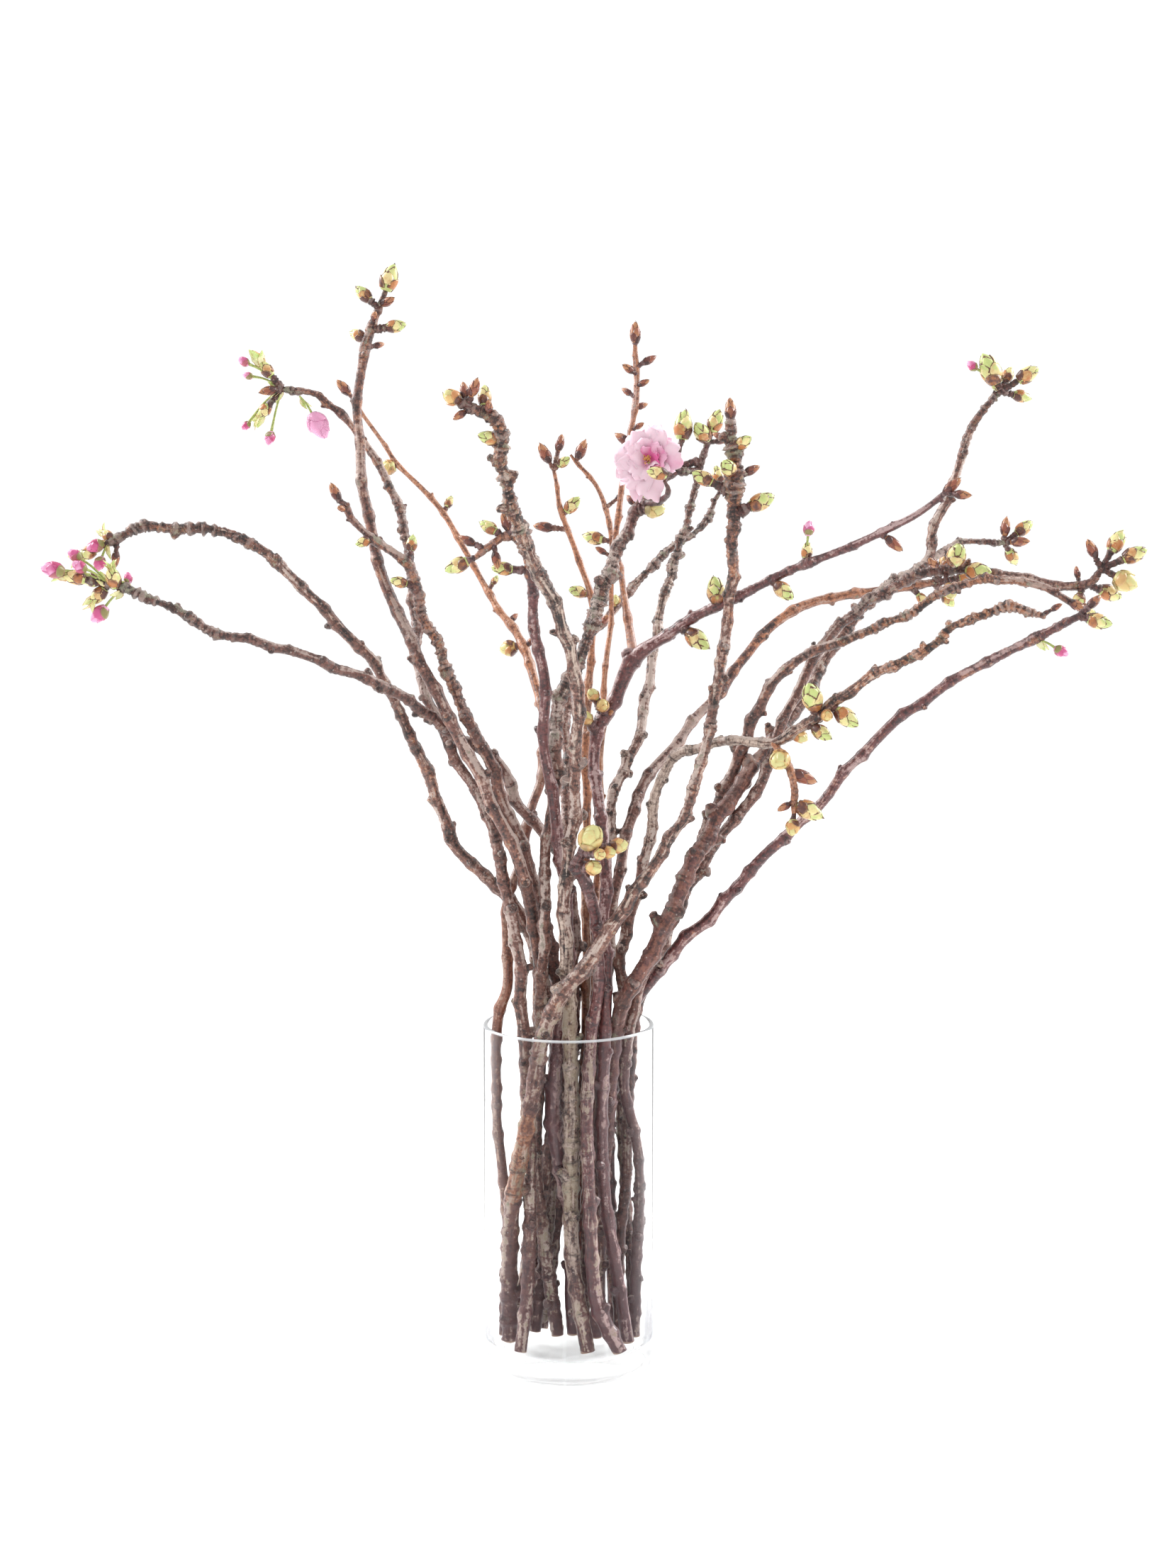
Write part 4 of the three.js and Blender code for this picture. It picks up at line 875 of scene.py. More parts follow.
def stub_line(root, half, outward, height, run, warm, pale):
    """A short broken-off stub or spur: it leaves the stem thick and narrows to a blunt end."""
    steps = max(4, round((height + half) / STUB_PITCH))
    t = np.linspace(0, 1, steps)
    points = root + np.outer(t * (height + half), outward)
    girth = half * (0.9 - 0.4 * t ** 1.5)
    girth[-1] *= 0.62
    level = np.ones(steps)
    return points, girth, run + t * 6, 0.6 * np.sin(t * 3.1), level, level * warm, level * pale


def bud_spur(bud, number):
    """The dark ringed spur that carries a bud, from the stem into the bud's foot."""
    way = bud["middle"] - bud["root"]
    reach = np.linalg.norm(way)
    length = max(bud["half"] * 0.8, reach - 0.42 * bud["length"])
    t = np.linspace(0, 1, max(5, round(length / STUB_PITCH)))
    girth = bud["length"] * FULLNESS[bud["kind"]] / 2
    thick = bud["half"] * 0.8 + (min(girth * 0.62, bud["half"]) - bud["half"] * 0.8) * t
    thick = thick * (1 + 0.1 * np.sin(t * reach * 2.2 + girth))
    level = np.ones(len(t))
    return (bud["root"] + np.outer(t * length, way / reach), thick, 500 + number + t * length,
            0.5 + 0.5 * np.sin(t * reach * 1.9), level * 0.8, level * 0.1, level * -0.75)


# A thin dark spur leads round the blossom to a green bud in front of it, and a thicker one crosses
# behind it. Where the arching branches meet, more buds crowd on the nearest of them.
FRONT_SPUR = [(65, -36, 625, 1.7), (68, -30, 620, 1.9), (67, -20, 614, 2.1), (61, -6, 609, 2.5),
              (50, 9, 610, 3)]
BACK_SPUR = [(70, 138, 622, 2.6), (75, 142, 627, 3), (82, 146, 632, 3.2), (90, 149, 635, 3.3),
             (98, 150, 636, 3.2)]
for name, spur in (("bloom_bearing", FRONT_SPUR), ("back_tall", BACK_SPUR)):
    stems.append({"branch": name, "rings": np.array(spur, float), "seat": 0})
for name, kind, middle, length, root in (
        ("bloom_bearing", "green", (59.6, -38, 630.3), 13, (70, -34.5, 628.4)),
        ("right_arch", "green", (268, 6, 574), 19, (266, 20, 562)),
        ("right_arch", "green", (284, 6, 562), 18, (269, 20, 562)),
        ("right_arch", "brown", (252, 10, 568), 12, (260, 20, 561)),
        ("right_arch", "round", (264, 7, 548), 12, (262, 20, 560)),
        ("forked", "brown", (263, -56, 616), 12, (251, -50, 617)),
        ("right_arch", "green", (352, 2, 541), 13, (356, 12, 552))):
    buds.append({"branch": name, "kind": kind, "middle": np.array(middle, float), "length": length,
                 "root": np.array(root, float), "half": 2.3})

for number, (name, branch) in enumerate(BRANCHES.items()):
    chance = random.Random(number)
    wood = WOOD[branch["bark"]]
    own_buds = [bud for bud in buds if bud["branch"] == name]
    lines = []
    for stem in (stem for stem in stems if stem["branch"] == name):
        line = smooth_line(stem["rings"], PITCH)
        points, girths = line[:, :3], line[:, 3].copy()
        steps = np.linalg.norm(np.diff(points, axis=0), axis=1)
        run = np.concatenate([[0], np.cumsum(steps)])
        warm = np.interp(run, *zip(*branch.get("warm", [(0, 0)])))
        pale = np.interp(run, *zip(*branch.get("pale", [(0, 0)])))
        if stem["seat"] is not None:
            warm = np.full(len(run), branch.get("twig_warm", warm[0]))
            pale = np.full(len(run), float(branch.get("twig_pale", 0)))
        pale += chance.uniform(-0.32, 0.1) * (1.2 - warm).clip(0, 1)
        pale -= (0.68 - 0.6 * warm) * np.exp(-((run / DARK_HEAD) ** 2))
        # Knots swell under each bud and at every node between them, and the stem kinks there.
        off = [np.linalg.norm(points - bud["root"], axis=1) for bud in own_buds]
        knots = [run[int(np.argmin(far))] for far in off if far.min() < ON_STEM]
        nodes = nodes_of(run, wood["stubs"], chance)
        kinks = np.zeros((len(nodes) + 2, 3))
        for n, (where, turn) in enumerate(nodes):
            k = int(np.searchsorted(run, where))
            bend = wood["kink"] * chance.uniform(0.3, 1) * (points[k, 2] > STRAIGHT_BELOW)
            kinks[n + 1] = across((points[k + 1] - points[k]) / steps[k], turn) * bend
        at = [0, *(where for where, _ in nodes), run[-1]]
        points = points + np.stack([np.interp(run, at, kinks[:, axis]) for axis in range(3)], 1)
        for where, turn in nodes:
            knots.append(where)
            k = int(np.searchsorted(run, where))
            if chance.random() < STUB_SHARE and points[k, 2] > BARE_BELOW:
                down = (points[k + 1] - points[k]) / np.linalg.norm(points[k + 1] - points[k])
                out = across(down, turn) * 0.86 - down * 0.5
                height = girths[k] * wood["stub"] * chance.uniform(0.35, 1.25)
                lines.append(stub_line(
                    points[k], girths[k] * 0.85, out, height, where, warm[k], pale[k]))
        gap = np.abs(run[:, None] - np.array(knots)[None])
        knot = np.exp(-((gap / KNOT_LENGTH) ** 2)).sum(1).clip(0, 1.3)
        girths *= 0.94 - 0.3 * np.exp(-((run / THIN_HEAD) ** 2))
        crowd = wood["crowd"] * (0.22 + 0.78 * np.exp(-((run / CROWDED_HEAD) ** 2)))
        crowd *= 0.75 + 0.5 * np.sin(run / CROWD_WAVE + number)
        if stem["seat"] is not None:
            crowd *= 1 - 0.65 * warm
        lines.append((points, girths, run + 1000 * number, knot, crowd, warm, pale))
    lines += [bud_spur(bud, number) for bud in own_buds if bud["kind"] != "pink"]
    values = {label: wood[label] for label in ("Knot swell", "Lump", "Grain", "Collar")}
    finish = bark_finishes[branch.get("like", branch["bark"])]
    values.update({"Sides": SIDES, "Seed": float(number), "Bark": finish})
    piece = dressed(name + "_wood", route_mesh(name, lines), bark_bench, values)
    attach(piece, "root")
    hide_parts(name + "_branch")

# ---- Vase -------------------------------------------------------------------------------------
# A straight cylinder of clear blown glass with a thick flat base and a fire-polished rim. The wall
# has the faint waves that a mould leaves.
def shell(name, points, faces, **layers):
    """A smooth mesh, with a value for every point in each layer."""
    mesh = bpy.data.meshes.new(name)
    mesh.from_pydata(points, [], faces)
    for label, values in layers.items():
        mesh.attributes.new(label, "FLOAT", "POINT").data.foreach_set("value", values)
    mesh.shade_smooth()
    return mesh


def lathed(name, outline, sides):
    """A closed turned shape from (radius, height) points in metres that start and end on the axis."""
    rings = outline[1:-1]
    points = [(0, 0, outline[0][1]), (0, 0, outline[-1][1])]
    for radius, height in rings:
        for n in range(sides):
            turn = 2 * math.pi * n / sides
            points.append((radius * math.cos(turn), radius * math.sin(turn), height))
    faces = []
    last = 2 + (len(rings) - 1) * sides
    for n in range(sides):
        beside = (n + 1) % sides
        faces.append((0, 2 + beside, 2 + n))
        faces.append((1, last + n, last + beside))
        for k in range(len(rings) - 1):
            low = 2 + k * sides
            faces.append((low + n, low + beside, low + sides + beside, low + sides + n))
    return shell(name, points, faces)


def rounded(corners, steps):
    """An outline with its corners rounded; each corner is (radius, height, how far to round)."""
    outline = []
    for k, (radius, height, reach) in enumerate(corners):
        here = Vector((radius, height))
        if not reach:
            outline.append(here)
            continue
        start = here + (Vector(corners[k - 1][:2]) - here).normalized() * reach
        stop = here + (Vector(corners[k + 1][:2]) - here).normalized() * reach
        for t in np.linspace(0, 1, steps + 1):
            outline.append(start * (1 - t) ** 2 + here * 2 * t * (1 - t) + stop * t * t)
    return outline


outer = VASE_RADIUS / 1000
inner = outer - WALL / 1000
rim = VASE_HEIGHT / 1000
ledge = FLOOR_TOP / 1000
dip = 0.0006
hollow_foot = 0.0012
foot_ring = 0.05
vase_mesh = lathed("glass_vase", rounded([
    (0, hollow_foot, 0), (foot_ring - 0.005, hollow_foot, 0.003), (foot_ring, 0, 0.003),
    (outer, 0, 0.0028), (outer, rim, 0.0017), (inner, rim, 0.0017), (inner, ledge, 0.007),
    (0.02, ledge - dip, 0.01), (0, ledge - dip, 0)], 6), 144)
vase = stood("glass_vase", vase_mesh)
glass, bench = finish_bench("clear glass")
place = bench.place()
waves = bench.noise(place, 14.0, 1.0)
clear = bench.put("ShaderNodeBsdfPrincipled", {}, {
    "Base Color": (0.985, 0.99, 0.99), "Roughness": 0.0, "IOR": 1.13, "Transmission Weight": 1.0,
    "Normal": bench.bump(0.12, 0.001, waves)})


def glass_mix(share, first, second):
    return bench.put("ShaderNodeMixShader", {}, {0: share, 1: first, 2: second})


def see_through(colour):
    return bench.put("ShaderNodeBsdfTransparent", {}, {"Color": colour})


# The polished rim is a pale opaque band, a painted highlight, and the thick base is faintly milky, so its
# edges are soft.
level = bench.put("ShaderNodeSeparateXYZ", {}, {0: place}, "Z")
side = bench.sums("ABSOLUTE", bench.put("ShaderNodeSeparateXYZ", {}, {0: place}, "X"))
rim_highlight = bench.put("ShaderNodeBsdfPrincipled", {}, {
    "Base Color": (0.80, 0.83, 0.86), "Roughness": 0.15, "Coat Weight": 1.0, "Coat Roughness": 0.03})
body = glass_mix(level.ramp(rim - 0.0018, rim - 0.001) * 0.5, clear, rim_highlight)
# The milky base also glows a little, a painted light that lifts the shade under the stems.
base_glow = bench.put("ShaderNodeEmission", {}, {"Color": (1, 1, 1), "Strength": 1.0})
milk_and_glow = glass_mix(0.26, see_through((0.95, 0.955, 0.96)), base_glow)
body = glass_mix((1 - level.ramp(0.002, 0.02)) * 0.6, body, milk_and_glow)
# Where the wall runs down into the base, grey is painted at the left and right sides only: painted shade
# standing in for the refraction of the thick glass there.
thick = side.ramp(outer * 0.82, outer) * level.ramp(0.006, 0.016) * (1 - level.ramp(0.02, 0.085))
body = glass_mix(thick * (waves * 0.7 + 0.15), body, see_through((0.52, 0.53, 0.56)))
# Light passes through the glass to what stands in and behind it.
in_shadow = bench.put("ShaderNodeLightPath", out="Is Shadow Ray")
body = glass_mix(in_shadow, body, see_through((0.95, 0.955, 0.955)))
bench.put("ShaderNodeOutputMaterial", {}, {"Surface": body})
vase_mesh.materials.append(glass)
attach(vase, "root")
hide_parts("vase")

# ---- Buds ---------------------------------------------------------------------------------------
# Winter buds in overlapping scales on short spurs: slim pointed brown ones, swollen green ones with
# brown scales left at their foot, and round ones about to break. A few forms of each kind are
# modelled scale by scale, and a Geometry Nodes tree sets them on their places.
SHAPES = {
    "green": {"blunt": 3.0, "close": 0.68, "foot": 0.62, "scales": 9, "lift": 0.028, "spread": 1.15},
    "brown": {"blunt": 3.1, "close": 0.64, "foot": 0.52, "scales": 9, "lift": 0.03, "spread": 1.05},
    "round": {"blunt": 3.2, "close": 0.6, "foot": 0.6, "scales": 8, "lift": 0.05, "spread": 0.95},
    "pink": {"blunt": 2.7, "close": 0.6, "foot": 0.45, "scales": 8, "lift": 0.05, "spread": 1.35},
}
CORE_SIDES, CORE_ROWS = 10, 8
SCALE_WIDE, SCALE_LONG = 4, 5
# Each scale stands this far round the bud from the one before.
NEXT_SCALE = 2.4


def squares_of(first, wide, deep):
    """The four corners of each square of a grid of points that is wide by deep squares."""
    for b in range(deep):
        for a in range(wide):
            low = first + b * (wide + 1) + a
            yield low, low + 1, low + wide + 2, low + wide + 1


def border_of(first, wide, deep):
    """Each step round the edge of such a grid, from one point to the next."""
    row = wide + 1
    border = [first + a for a in range(wide)]
    border += [first + b * row + wide for b in range(deep)]
    border += [first + deep * row + a for a in range(wide, 0, -1)]
    border += [first + b * row for b in range(deep, 0, -1)]
    return list(zip(border, border[1:] + border[:1]))


def bud_radius(shape, u):
    """The radius of a bud of girth 1 at a share u of its length."""
    fill = shape["foot"] + (1 - shape["foot"]) * math.sin(min(1, u / 0.42) * math.pi / 2)
    return 0.5 * (1 - min(1, u) ** shape["blunt"]) ** shape["close"] * fill


def bud_form(name, shape, seed, collection):
    """One bud along +Z with its middle at the origin, 1 long and 1 across."""
    chance = random.Random(seed)
    points, faces, rank, rim_share = [], [], [], []

    def add(radius, angle, u, level, edge):
        points.append((radius * math.cos(angle), radius * math.sin(angle), u - 0.5))
        rank.append(level)
        rim_share.append(edge)

    for k in range(CORE_ROWS + 1):
        u = min(0.995, k / CORE_ROWS)
        for n in range(CORE_SIDES):
            add(bud_radius(shape, u), 2 * math.pi * n / CORE_SIDES, u, 1.0, max(0.0, (u - 0.8) * 3))
    for k in range(CORE_ROWS):
        for n in range(CORE_SIDES):
            low, beside = k * CORE_SIDES + n, k * CORE_SIDES + (n + 1) % CORE_SIDES
            faces.append((low, beside, beside + CORE_SIDES, low + CORE_SIDES))
    faces.append(tuple(range(CORE_SIDES))[::-1])
    faces.append(tuple(range(CORE_ROWS * CORE_SIDES, (CORE_ROWS + 1) * CORE_SIDES)))
    for i in range(shape["scales"]):
        level = i / (shape["scales"] - 1)
        turn = i * NEXT_SCALE + chance.uniform(-0.25, 0.25)
        start = 0.02 + 0.42 * level
        length = (0.36 + 0.2 * level) * chance.uniform(0.9, 1.1)
        lift = shape["lift"] * chance.uniform(0.5, 1.6) * (1.1 - 0.5 * level)
        first = len(points)
        for b in range(SCALE_LONG + 1):
            v = b / SCALE_LONG
            u = start + length * v
            wide = shape["spread"] * (1 - v ** 2.2) ** 0.75 + 0.03
            for a in range(SCALE_WIDE + 1):
                s = 2 * a / SCALE_WIDE - 1
                radius = bud_radius(shape, u) * (1.03 + 0.07 * (1 - level)) + lift * (0.25 + v * v)
                radius += 0.02 * (1 - s * s)
                add(radius, turn + wide * s, u, level * 0.85, min(1.0, max(abs(s) ** 3 * 0.9, v ** 4)))
        faces += squares_of(first, SCALE_WIDE, SCALE_LONG)
        # The edge of a scale turns in to the bud, all the way round.
        border = border_of(first, SCALE_WIDE, SCALE_LONG)
        skirt = len(points)
        for n, (index, after) in enumerate(border):
            x, y, z = points[index]
            points.append((x * 0.84, y * 0.84, z - 0.015))
            rank.append(level * 0.85)
            rim_share.append(1.0)
            faces.append((after, index, skirt + n, skirt + (n + 1) % len(border)))
    bud = shell(name, points, faces, rank=rank, rim=rim_share)
    collection.objects.link(bpy.data.objects.new(name, bud))


def bud_finish(name, foot, flank, body, head, mark, gloss, marked=0.86, flecks=0.3, ripe=0.0):
    finish, bench = finish_bench(name)
    place = bench.place()
    rank, rim_share, tint = (bench.read(label) for label in ("rank", "rim", "tint"))
    mottle = bench.noise(place, 260.0, 3.0)
    cloud = bench.noise(place, 120.0, 1.0)
    streak = bench.noise(place, 900.0, 3.0, 0.6)
    # Dark at the foot, then a warm band, then the body, with the head colour in soft clouds.
    level = rank + (mottle - 0.5) * (flecks * 1.3) + (tint - 0.6) * 0.35
    colour = bench.blend(level.ramp(0.07, 0.26), foot, flank)
    colour = bench.blend(level.ramp(0.28, 0.55), colour, body)
    colour = bench.blend((level * 0.5 + cloud * 0.9).ramp(0.68, 0.92), colour, head)
    colour = bench.blend((streak * 0.9 + mottle * 0.4).ramp(0.66, 0.86) * flecks, colour, flank)
    # The thin edge of a scale dries pale, and in places dark brown.
    colour = bench.blend(rim_share.ramp(0.45, 0.9) * 0.5, colour, body)
    dried = (rim_share * 0.5 + mottle * 0.8 + streak * 0.25).ramp(marked, marked + 0.13)
    colour = bench.blend(dried, colour, mark)
    colour = bench.blend(tint.ramp(0.6, 0.9) * ripe, colour, head)
    surface(bench, {
        "Base Color": colour, "Roughness": streak * 0.25 + gloss, "Coat Weight": 0.25,
        "Normal": bench.bump(0.2 + flecks, 0.0004, streak * flecks + mottle * 0.3),
        "Coat Roughness": 0.25})
    return finish


bud_finishes = {
    "green": bud_finish("green bud scales", (0.085, 0.026, 0.02), (0.46, 0.17, 0.05),
                        (0.76, 0.66, 0.31), (0.50, 0.58, 0.20), (0.13, 0.042, 0.022), 0.3, 0.81),
    "brown": bud_finish("brown bud scales", (0.045, 0.015, 0.014), (0.12, 0.030, 0.022),
                        (0.27, 0.075, 0.038), (0.43, 0.19, 0.085), (0.055, 0.02, 0.018), 0.3),
    "round": bud_finish("breaking bud scales", (0.10, 0.032, 0.022), (0.50, 0.20, 0.07),
                        (0.66, 0.41, 0.15), (0.60, 0.57, 0.24), (0.27, 0.09, 0.035), 0.3, 0.96,
                        ripe=0.4),
    "pink": bud_finish("flower bud petals", (0.24, 0.22, 0.07), (0.46, 0.045, 0.15),
                       (0.58, 0.10, 0.26), (0.74, 0.36, 0.55), (0.40, 0.04, 0.13), 0.35, 1.4,
                       flecks=0.02, ripe=0.8),
}
FORMS = 4
bud_bench, given = tree_of_nodes("buds on their places", {
    "Forms": "Collection", "Seed": "Int", "Scales": "Material"})
forms_in = bud_bench.put("GeometryNodeCollectionInfo", {}, {
    "Collection": given["Forms"], "Separate Children": True, "Reset Children": True})
# A random value's sockets go by number: 2 and 3 bound a float, 4 and 5 a whole number.
pick = bud_bench.put("FunctionNodeRandomValue", {"data_type": "INT"}, {
    4: 0, 5: FORMS - 1, "Seed": given["Seed"]}, 2)
spin = bud_bench.put("FunctionNodeRandomValue", {"data_type": "FLOAT"}, {
    2: 0.0, 3: 6.28, "Seed": given["Seed"]}, 1)
spin = bud_bench.put("ShaderNodeCombineXYZ", {}, {"Z": spin})
spin = bud_bench.put("FunctionNodeEulerToRotation", {}, {"Euler": spin})
way, size = (attribute(bud_bench, "FLOAT_VECTOR", label) for label in ("way", "size"))
aim = bud_bench.put("FunctionNodeAlignRotationToVector", {"axis": "Z"}, {"Rotation": spin, "Vector": way})
grown = bud_bench.put("GeometryNodeInstanceOnPoints", {}, {
    "Points": given["Geometry"], "Instance": forms_in, "Pick Instance": True, "Instance Index": pick,
    "Rotation": aim, "Scale": size})
close_tree(bud_bench, grown, given["Scales"])


def set_out(name, make, seed, finish, middles, ways, sizes, tints):
    """One piece with a form, picked by the tree, on each place; each form is (across, deep, long)."""
    forms = bpy.data.collections.new(name + " forms")
    for n in range(FORMS):
        make(name + "_form_" + str(n), n, forms)
    mesh = bpy.data.meshes.new(name)
    mesh.from_pydata([tuple(middle) for middle in middles], [], [])
    for label, values in (("way", ways), ("size", sizes)):
        layer = mesh.attributes.new(label, "FLOAT_VECTOR", "POINT")
        layer.data.foreach_set("vector", np.array(values, float).ravel())
    mesh.attributes.new("tint", "FLOAT", "POINT").data.foreach_set("value", tints)
    piece = dressed(name, mesh, bud_bench, {"Forms": forms, "Seed": seed, "Scales": finish})
    for form in list(forms.objects):
        form_mesh = form.data
        bpy.data.objects.remove(form)
        bpy.data.meshes.remove(form_mesh)
    bpy.data.collections.remove(forms)
    return piece


# The largest flower bud hangs on a long stalk from near the tip of its branch.
largest = max((bud for bud in buds if bud["kind"] == "pink"), key=lambda bud: bud["length"])
largest["root"] = np.array([-194.0, 104.0, 683.0])
LONGER = {"green": 1.1, "brown": 1.04, "round": 1.0, "pink": 1.3}
WIDER = {"green": 1.0, "brown": 1.05, "round": 1.0, "pink": 1.02}
for seed, (kind, shape) in enumerate(SHAPES.items()):
    chance = random.Random(40 + seed)
    kin = [bud for bud in buds if bud["kind"] == kind]
    sizes = []
    for bud in kin:
        long = bud["length"] * LONGER[kind]
        if kind != "brown" and bud["branch"] in ("left_arch", "left_low"):
            long *= 1.2
        across_it = long * FULLNESS[kind] * WIDER[kind]
        sizes.append((across_it / 1000, across_it / 1000, long / 1000))
    tints = [0.4 * chance.random() + 0.6 * min(1.6, bud["length"] / 16) for bud in kin]
    piece = set_out(kind + "_buds", lambda name, n, held: bud_form(name, shape, 10 * seed + n, held),
                    seed, bud_finishes[kind], [bud["middle"] / 1000 for bud in kin],
                    [bud["middle"] - bud["root"] for bud in kin], sizes, tints)
    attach(piece, "root")

# ---- Young leaves and flower stalks -------------------------------------------------------------
# The first leaves come folded out of the opening buds in pale green tufts. A flower bud hangs on a
# thin green stalk that comes out of the same bud.
LEAF_WIDE, LEAF_LONG = 4, 7
LEAF_THICKNESS = 0.05


def two_sided(first, wide, deep):
    """The faces of a thin sheet: two grids of points back to back, closed round their edge."""
    count = (wide + 1) * (deep + 1)
    faces = []
    for a, b, c, d in squares_of(first, wide, deep):
        faces += [(a, d, c, b), (a + count, b + count, c + count, d + count)]
    for index, after in border_of(first, wide, deep):
        faces.append((index, after, after + count, index + count))
    return faces


def leaf_form(name, seed, collection):
    """One young leaf along +Z, 1 long and 1 wide, folded along its rib and bent back at the tip."""
    chance = random.Random(90 + seed)
    fold = chance.uniform(0.35, 0.6)
    bend = chance.uniform(0.25, 0.6)
    points, rank, rim_share = [], [], []
    for side in (0, 1):
        for b in range(LEAF_LONG + 1):
            v = b / LEAF_LONG
            wide = 0.5 * math.sin(math.pi * min(0.985, 0.06 + 0.93 * v) ** 0.8) + 0.015
            for a in range(LEAF_WIDE + 1):
                s = 2 * a / LEAF_WIDE - 1
                tooth = 1 + 0.08 * (a in (0, LEAF_WIDE)) * (-1) ** b
                y = abs(s) * wide * fold - bend * v * v - side * LEAF_THICKNESS
                points.append((s * wide * tooth, y, v - 0.5))
                rank.append(v)
                rim_share.append(s * s)
    leaf = shell(name, points, two_sided(0, LEAF_WIDE, LEAF_LONG), rank=rank, rim=rim_share)
    collection.objects.link(bpy.data.objects.new(name, leaf))


# On the three branches that are furthest on, each green bud has leaves coming out of its tip.
chance = random.Random(5)
leaf_middles, leaf_ways, leaf_sizes = [], [], []


def add_leaf(root, way, spread, long, wide):
    lean = (way + Vector([chance.uniform(-spread, spread) for _ in range(3)])).normalized()
    leaf_middles.append((root + lean * long * 0.5) / 1000)
    leaf_ways.append(lean)
    leaf_sizes.append((wide / 1000, wide / 1000, long / 1000))


for bud in buds:
    if bud["kind"] != "green" or bud["branch"] not in ("left_arch", "left_low", "left_hook"):
        continue
    way = Vector(bud["middle"] - bud["root"]).normalized()
    for _ in range(chance.choice((4, 5, 6))):
        long = bud["length"] * chance.uniform(0.8, 1.25)
        add_leaf(Vector(bud["middle"]) + way * bud["length"] * 0.1, way, 0.5, long, long * 0.5)
flower_buds = [bud for bud in buds if bud["kind"] == "pink"]
for bud in flower_buds:
    way = Vector(bud["middle"] - bud["root"]).normalized()
    for _ in range(2):
        add_leaf(Vector(bud["root"]) + way * 1.5, way, 0.45, chance.uniform(7, 11), 4.4)
leaf_finish = bud_finish("young leaves", (0.80, 0.72, 0.44), (0.82, 0.78, 0.46), (0.78, 0.80, 0.44),
                         (0.56, 0.70, 0.24), (0.60, 0.36, 0.16), 0.35)
piece = set_out("young_leaves", leaf_form, 9, leaf_finish, leaf_middles, leaf_ways, leaf_sizes,
                [chance.random() for _ in leaf_ways])
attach(piece, "root")

stalk_finish, bench = finish_bench("green stalk")
fibre = bench.noise(bench.place(), 700.0, 2.0)
colour = bench.blend(fibre.ramp(0.35, 0.65), (0.24, 0.30, 0.07), (0.42, 0.46, 0.15))
surface(bench, {"Base Color": colour, "Roughness": fibre * 0.2 + 0.35,
                "Normal": bench.bump(0.3, 0.0003, fibre)})
lines = []
for bud in flower_buds:
    way = bud["middle"] - bud["root"]
    reach = np.linalg.norm(way)
    t = np.linspace(0, 1, max(5, round(reach / 1.2)))
    sag = np.outer(np.sin(t * math.pi) * reach * 0.08, (0, 0, 1))
    points = bud["root"] + np.outer(t * (reach - 0.3 * bud["length"]), way / reach) + sag
    lines.append((points, 0.75 + 0.7 * t ** 6, t * reach, 0 * t, 0 * t))
stalk_values = {"Sides": 7, "Knot swell": 0.0, "Lump": 0.15, "Grain": 0.0, "Collar": 0.0, "Seed": 3.0,
                "Bark": stalk_finish}
piece = dressed("flower_stalks", route_mesh("flower_stalks", lines), bark_bench, stalk_values)
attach(piece, "root")

# ---- Open blossom -----------------------------------------------------------------------------
# One open double cherry blossom on a green cup and stalk. Soft pleated petals, notched at the tip,
# crowd round a throat of stamens. They are pale pink and lilac outside and deeper pink inside.
BLOOM_CENTRE = np.array([55, -4, 637.0])
BLOOM_FACES = Vector((-0.18, -0.93, 0.32)).normalized()
PETALS = [
    # Clock angle, length, width, lean from the facing direction, depth of pink.
    (285, 23.5, 22, 1.25, -0.3), (329, 23, 20, 1.22, -0.22), (355, 24, 18, 1.24, -0.12),
    (21, 26, 20, 1.2, -0.08), (43, 22, 18, 1.26, 0.02), (82, 24, 23, 1.24, 0.02),
    (104, 19, 20, 1.28, -0.05), (142, 18, 18, 1.2, -0.15), (174, 29, 20, 1.22, -0.3),
    (200, 28, 18, 1.25, -0.32), (220, 25, 18, 1.2, -0.3), (242, 23, 22, 1.26, -0.3),
    (263, 21, 17, 1.2, -0.26), (300, 16, 18, 0.95, -0.22), (338, 14, 16, 0.9, -0.1),
    (12, 16, 18, 0.95, 0.1), (50, 15, 17, 0.9, 0.4), (88, 15, 17, 0.92, 0.45),
    (232, 17, 18, 0.95, -0.25), (190, 16, 16, 0.95, -0.2), (66, 11, 14, 0.6, 0.95),
    (104, 11, 13, 0.6, 0.8), (20, 11, 13, 0.6, 0.6), (278, 12, 14, 0.7, -0.1), (140, 10, 12, 0.55, 0.1),
]
CLOCK_START = 35.3
PETAL_THICKNESS = 0.35
PETAL_FOOT = 1.2
PETAL_STEPS = 14


def bloom_place(points):
    """Points in the blossom's own space, which looks along +Y, at their place in millimetres."""
    turn = Vector((0, 1, 0)).rotation_difference(BLOOM_FACES).to_matrix()
    return (np.array(turn) @ np.array(points, float).T).T + BLOOM_CENTRE


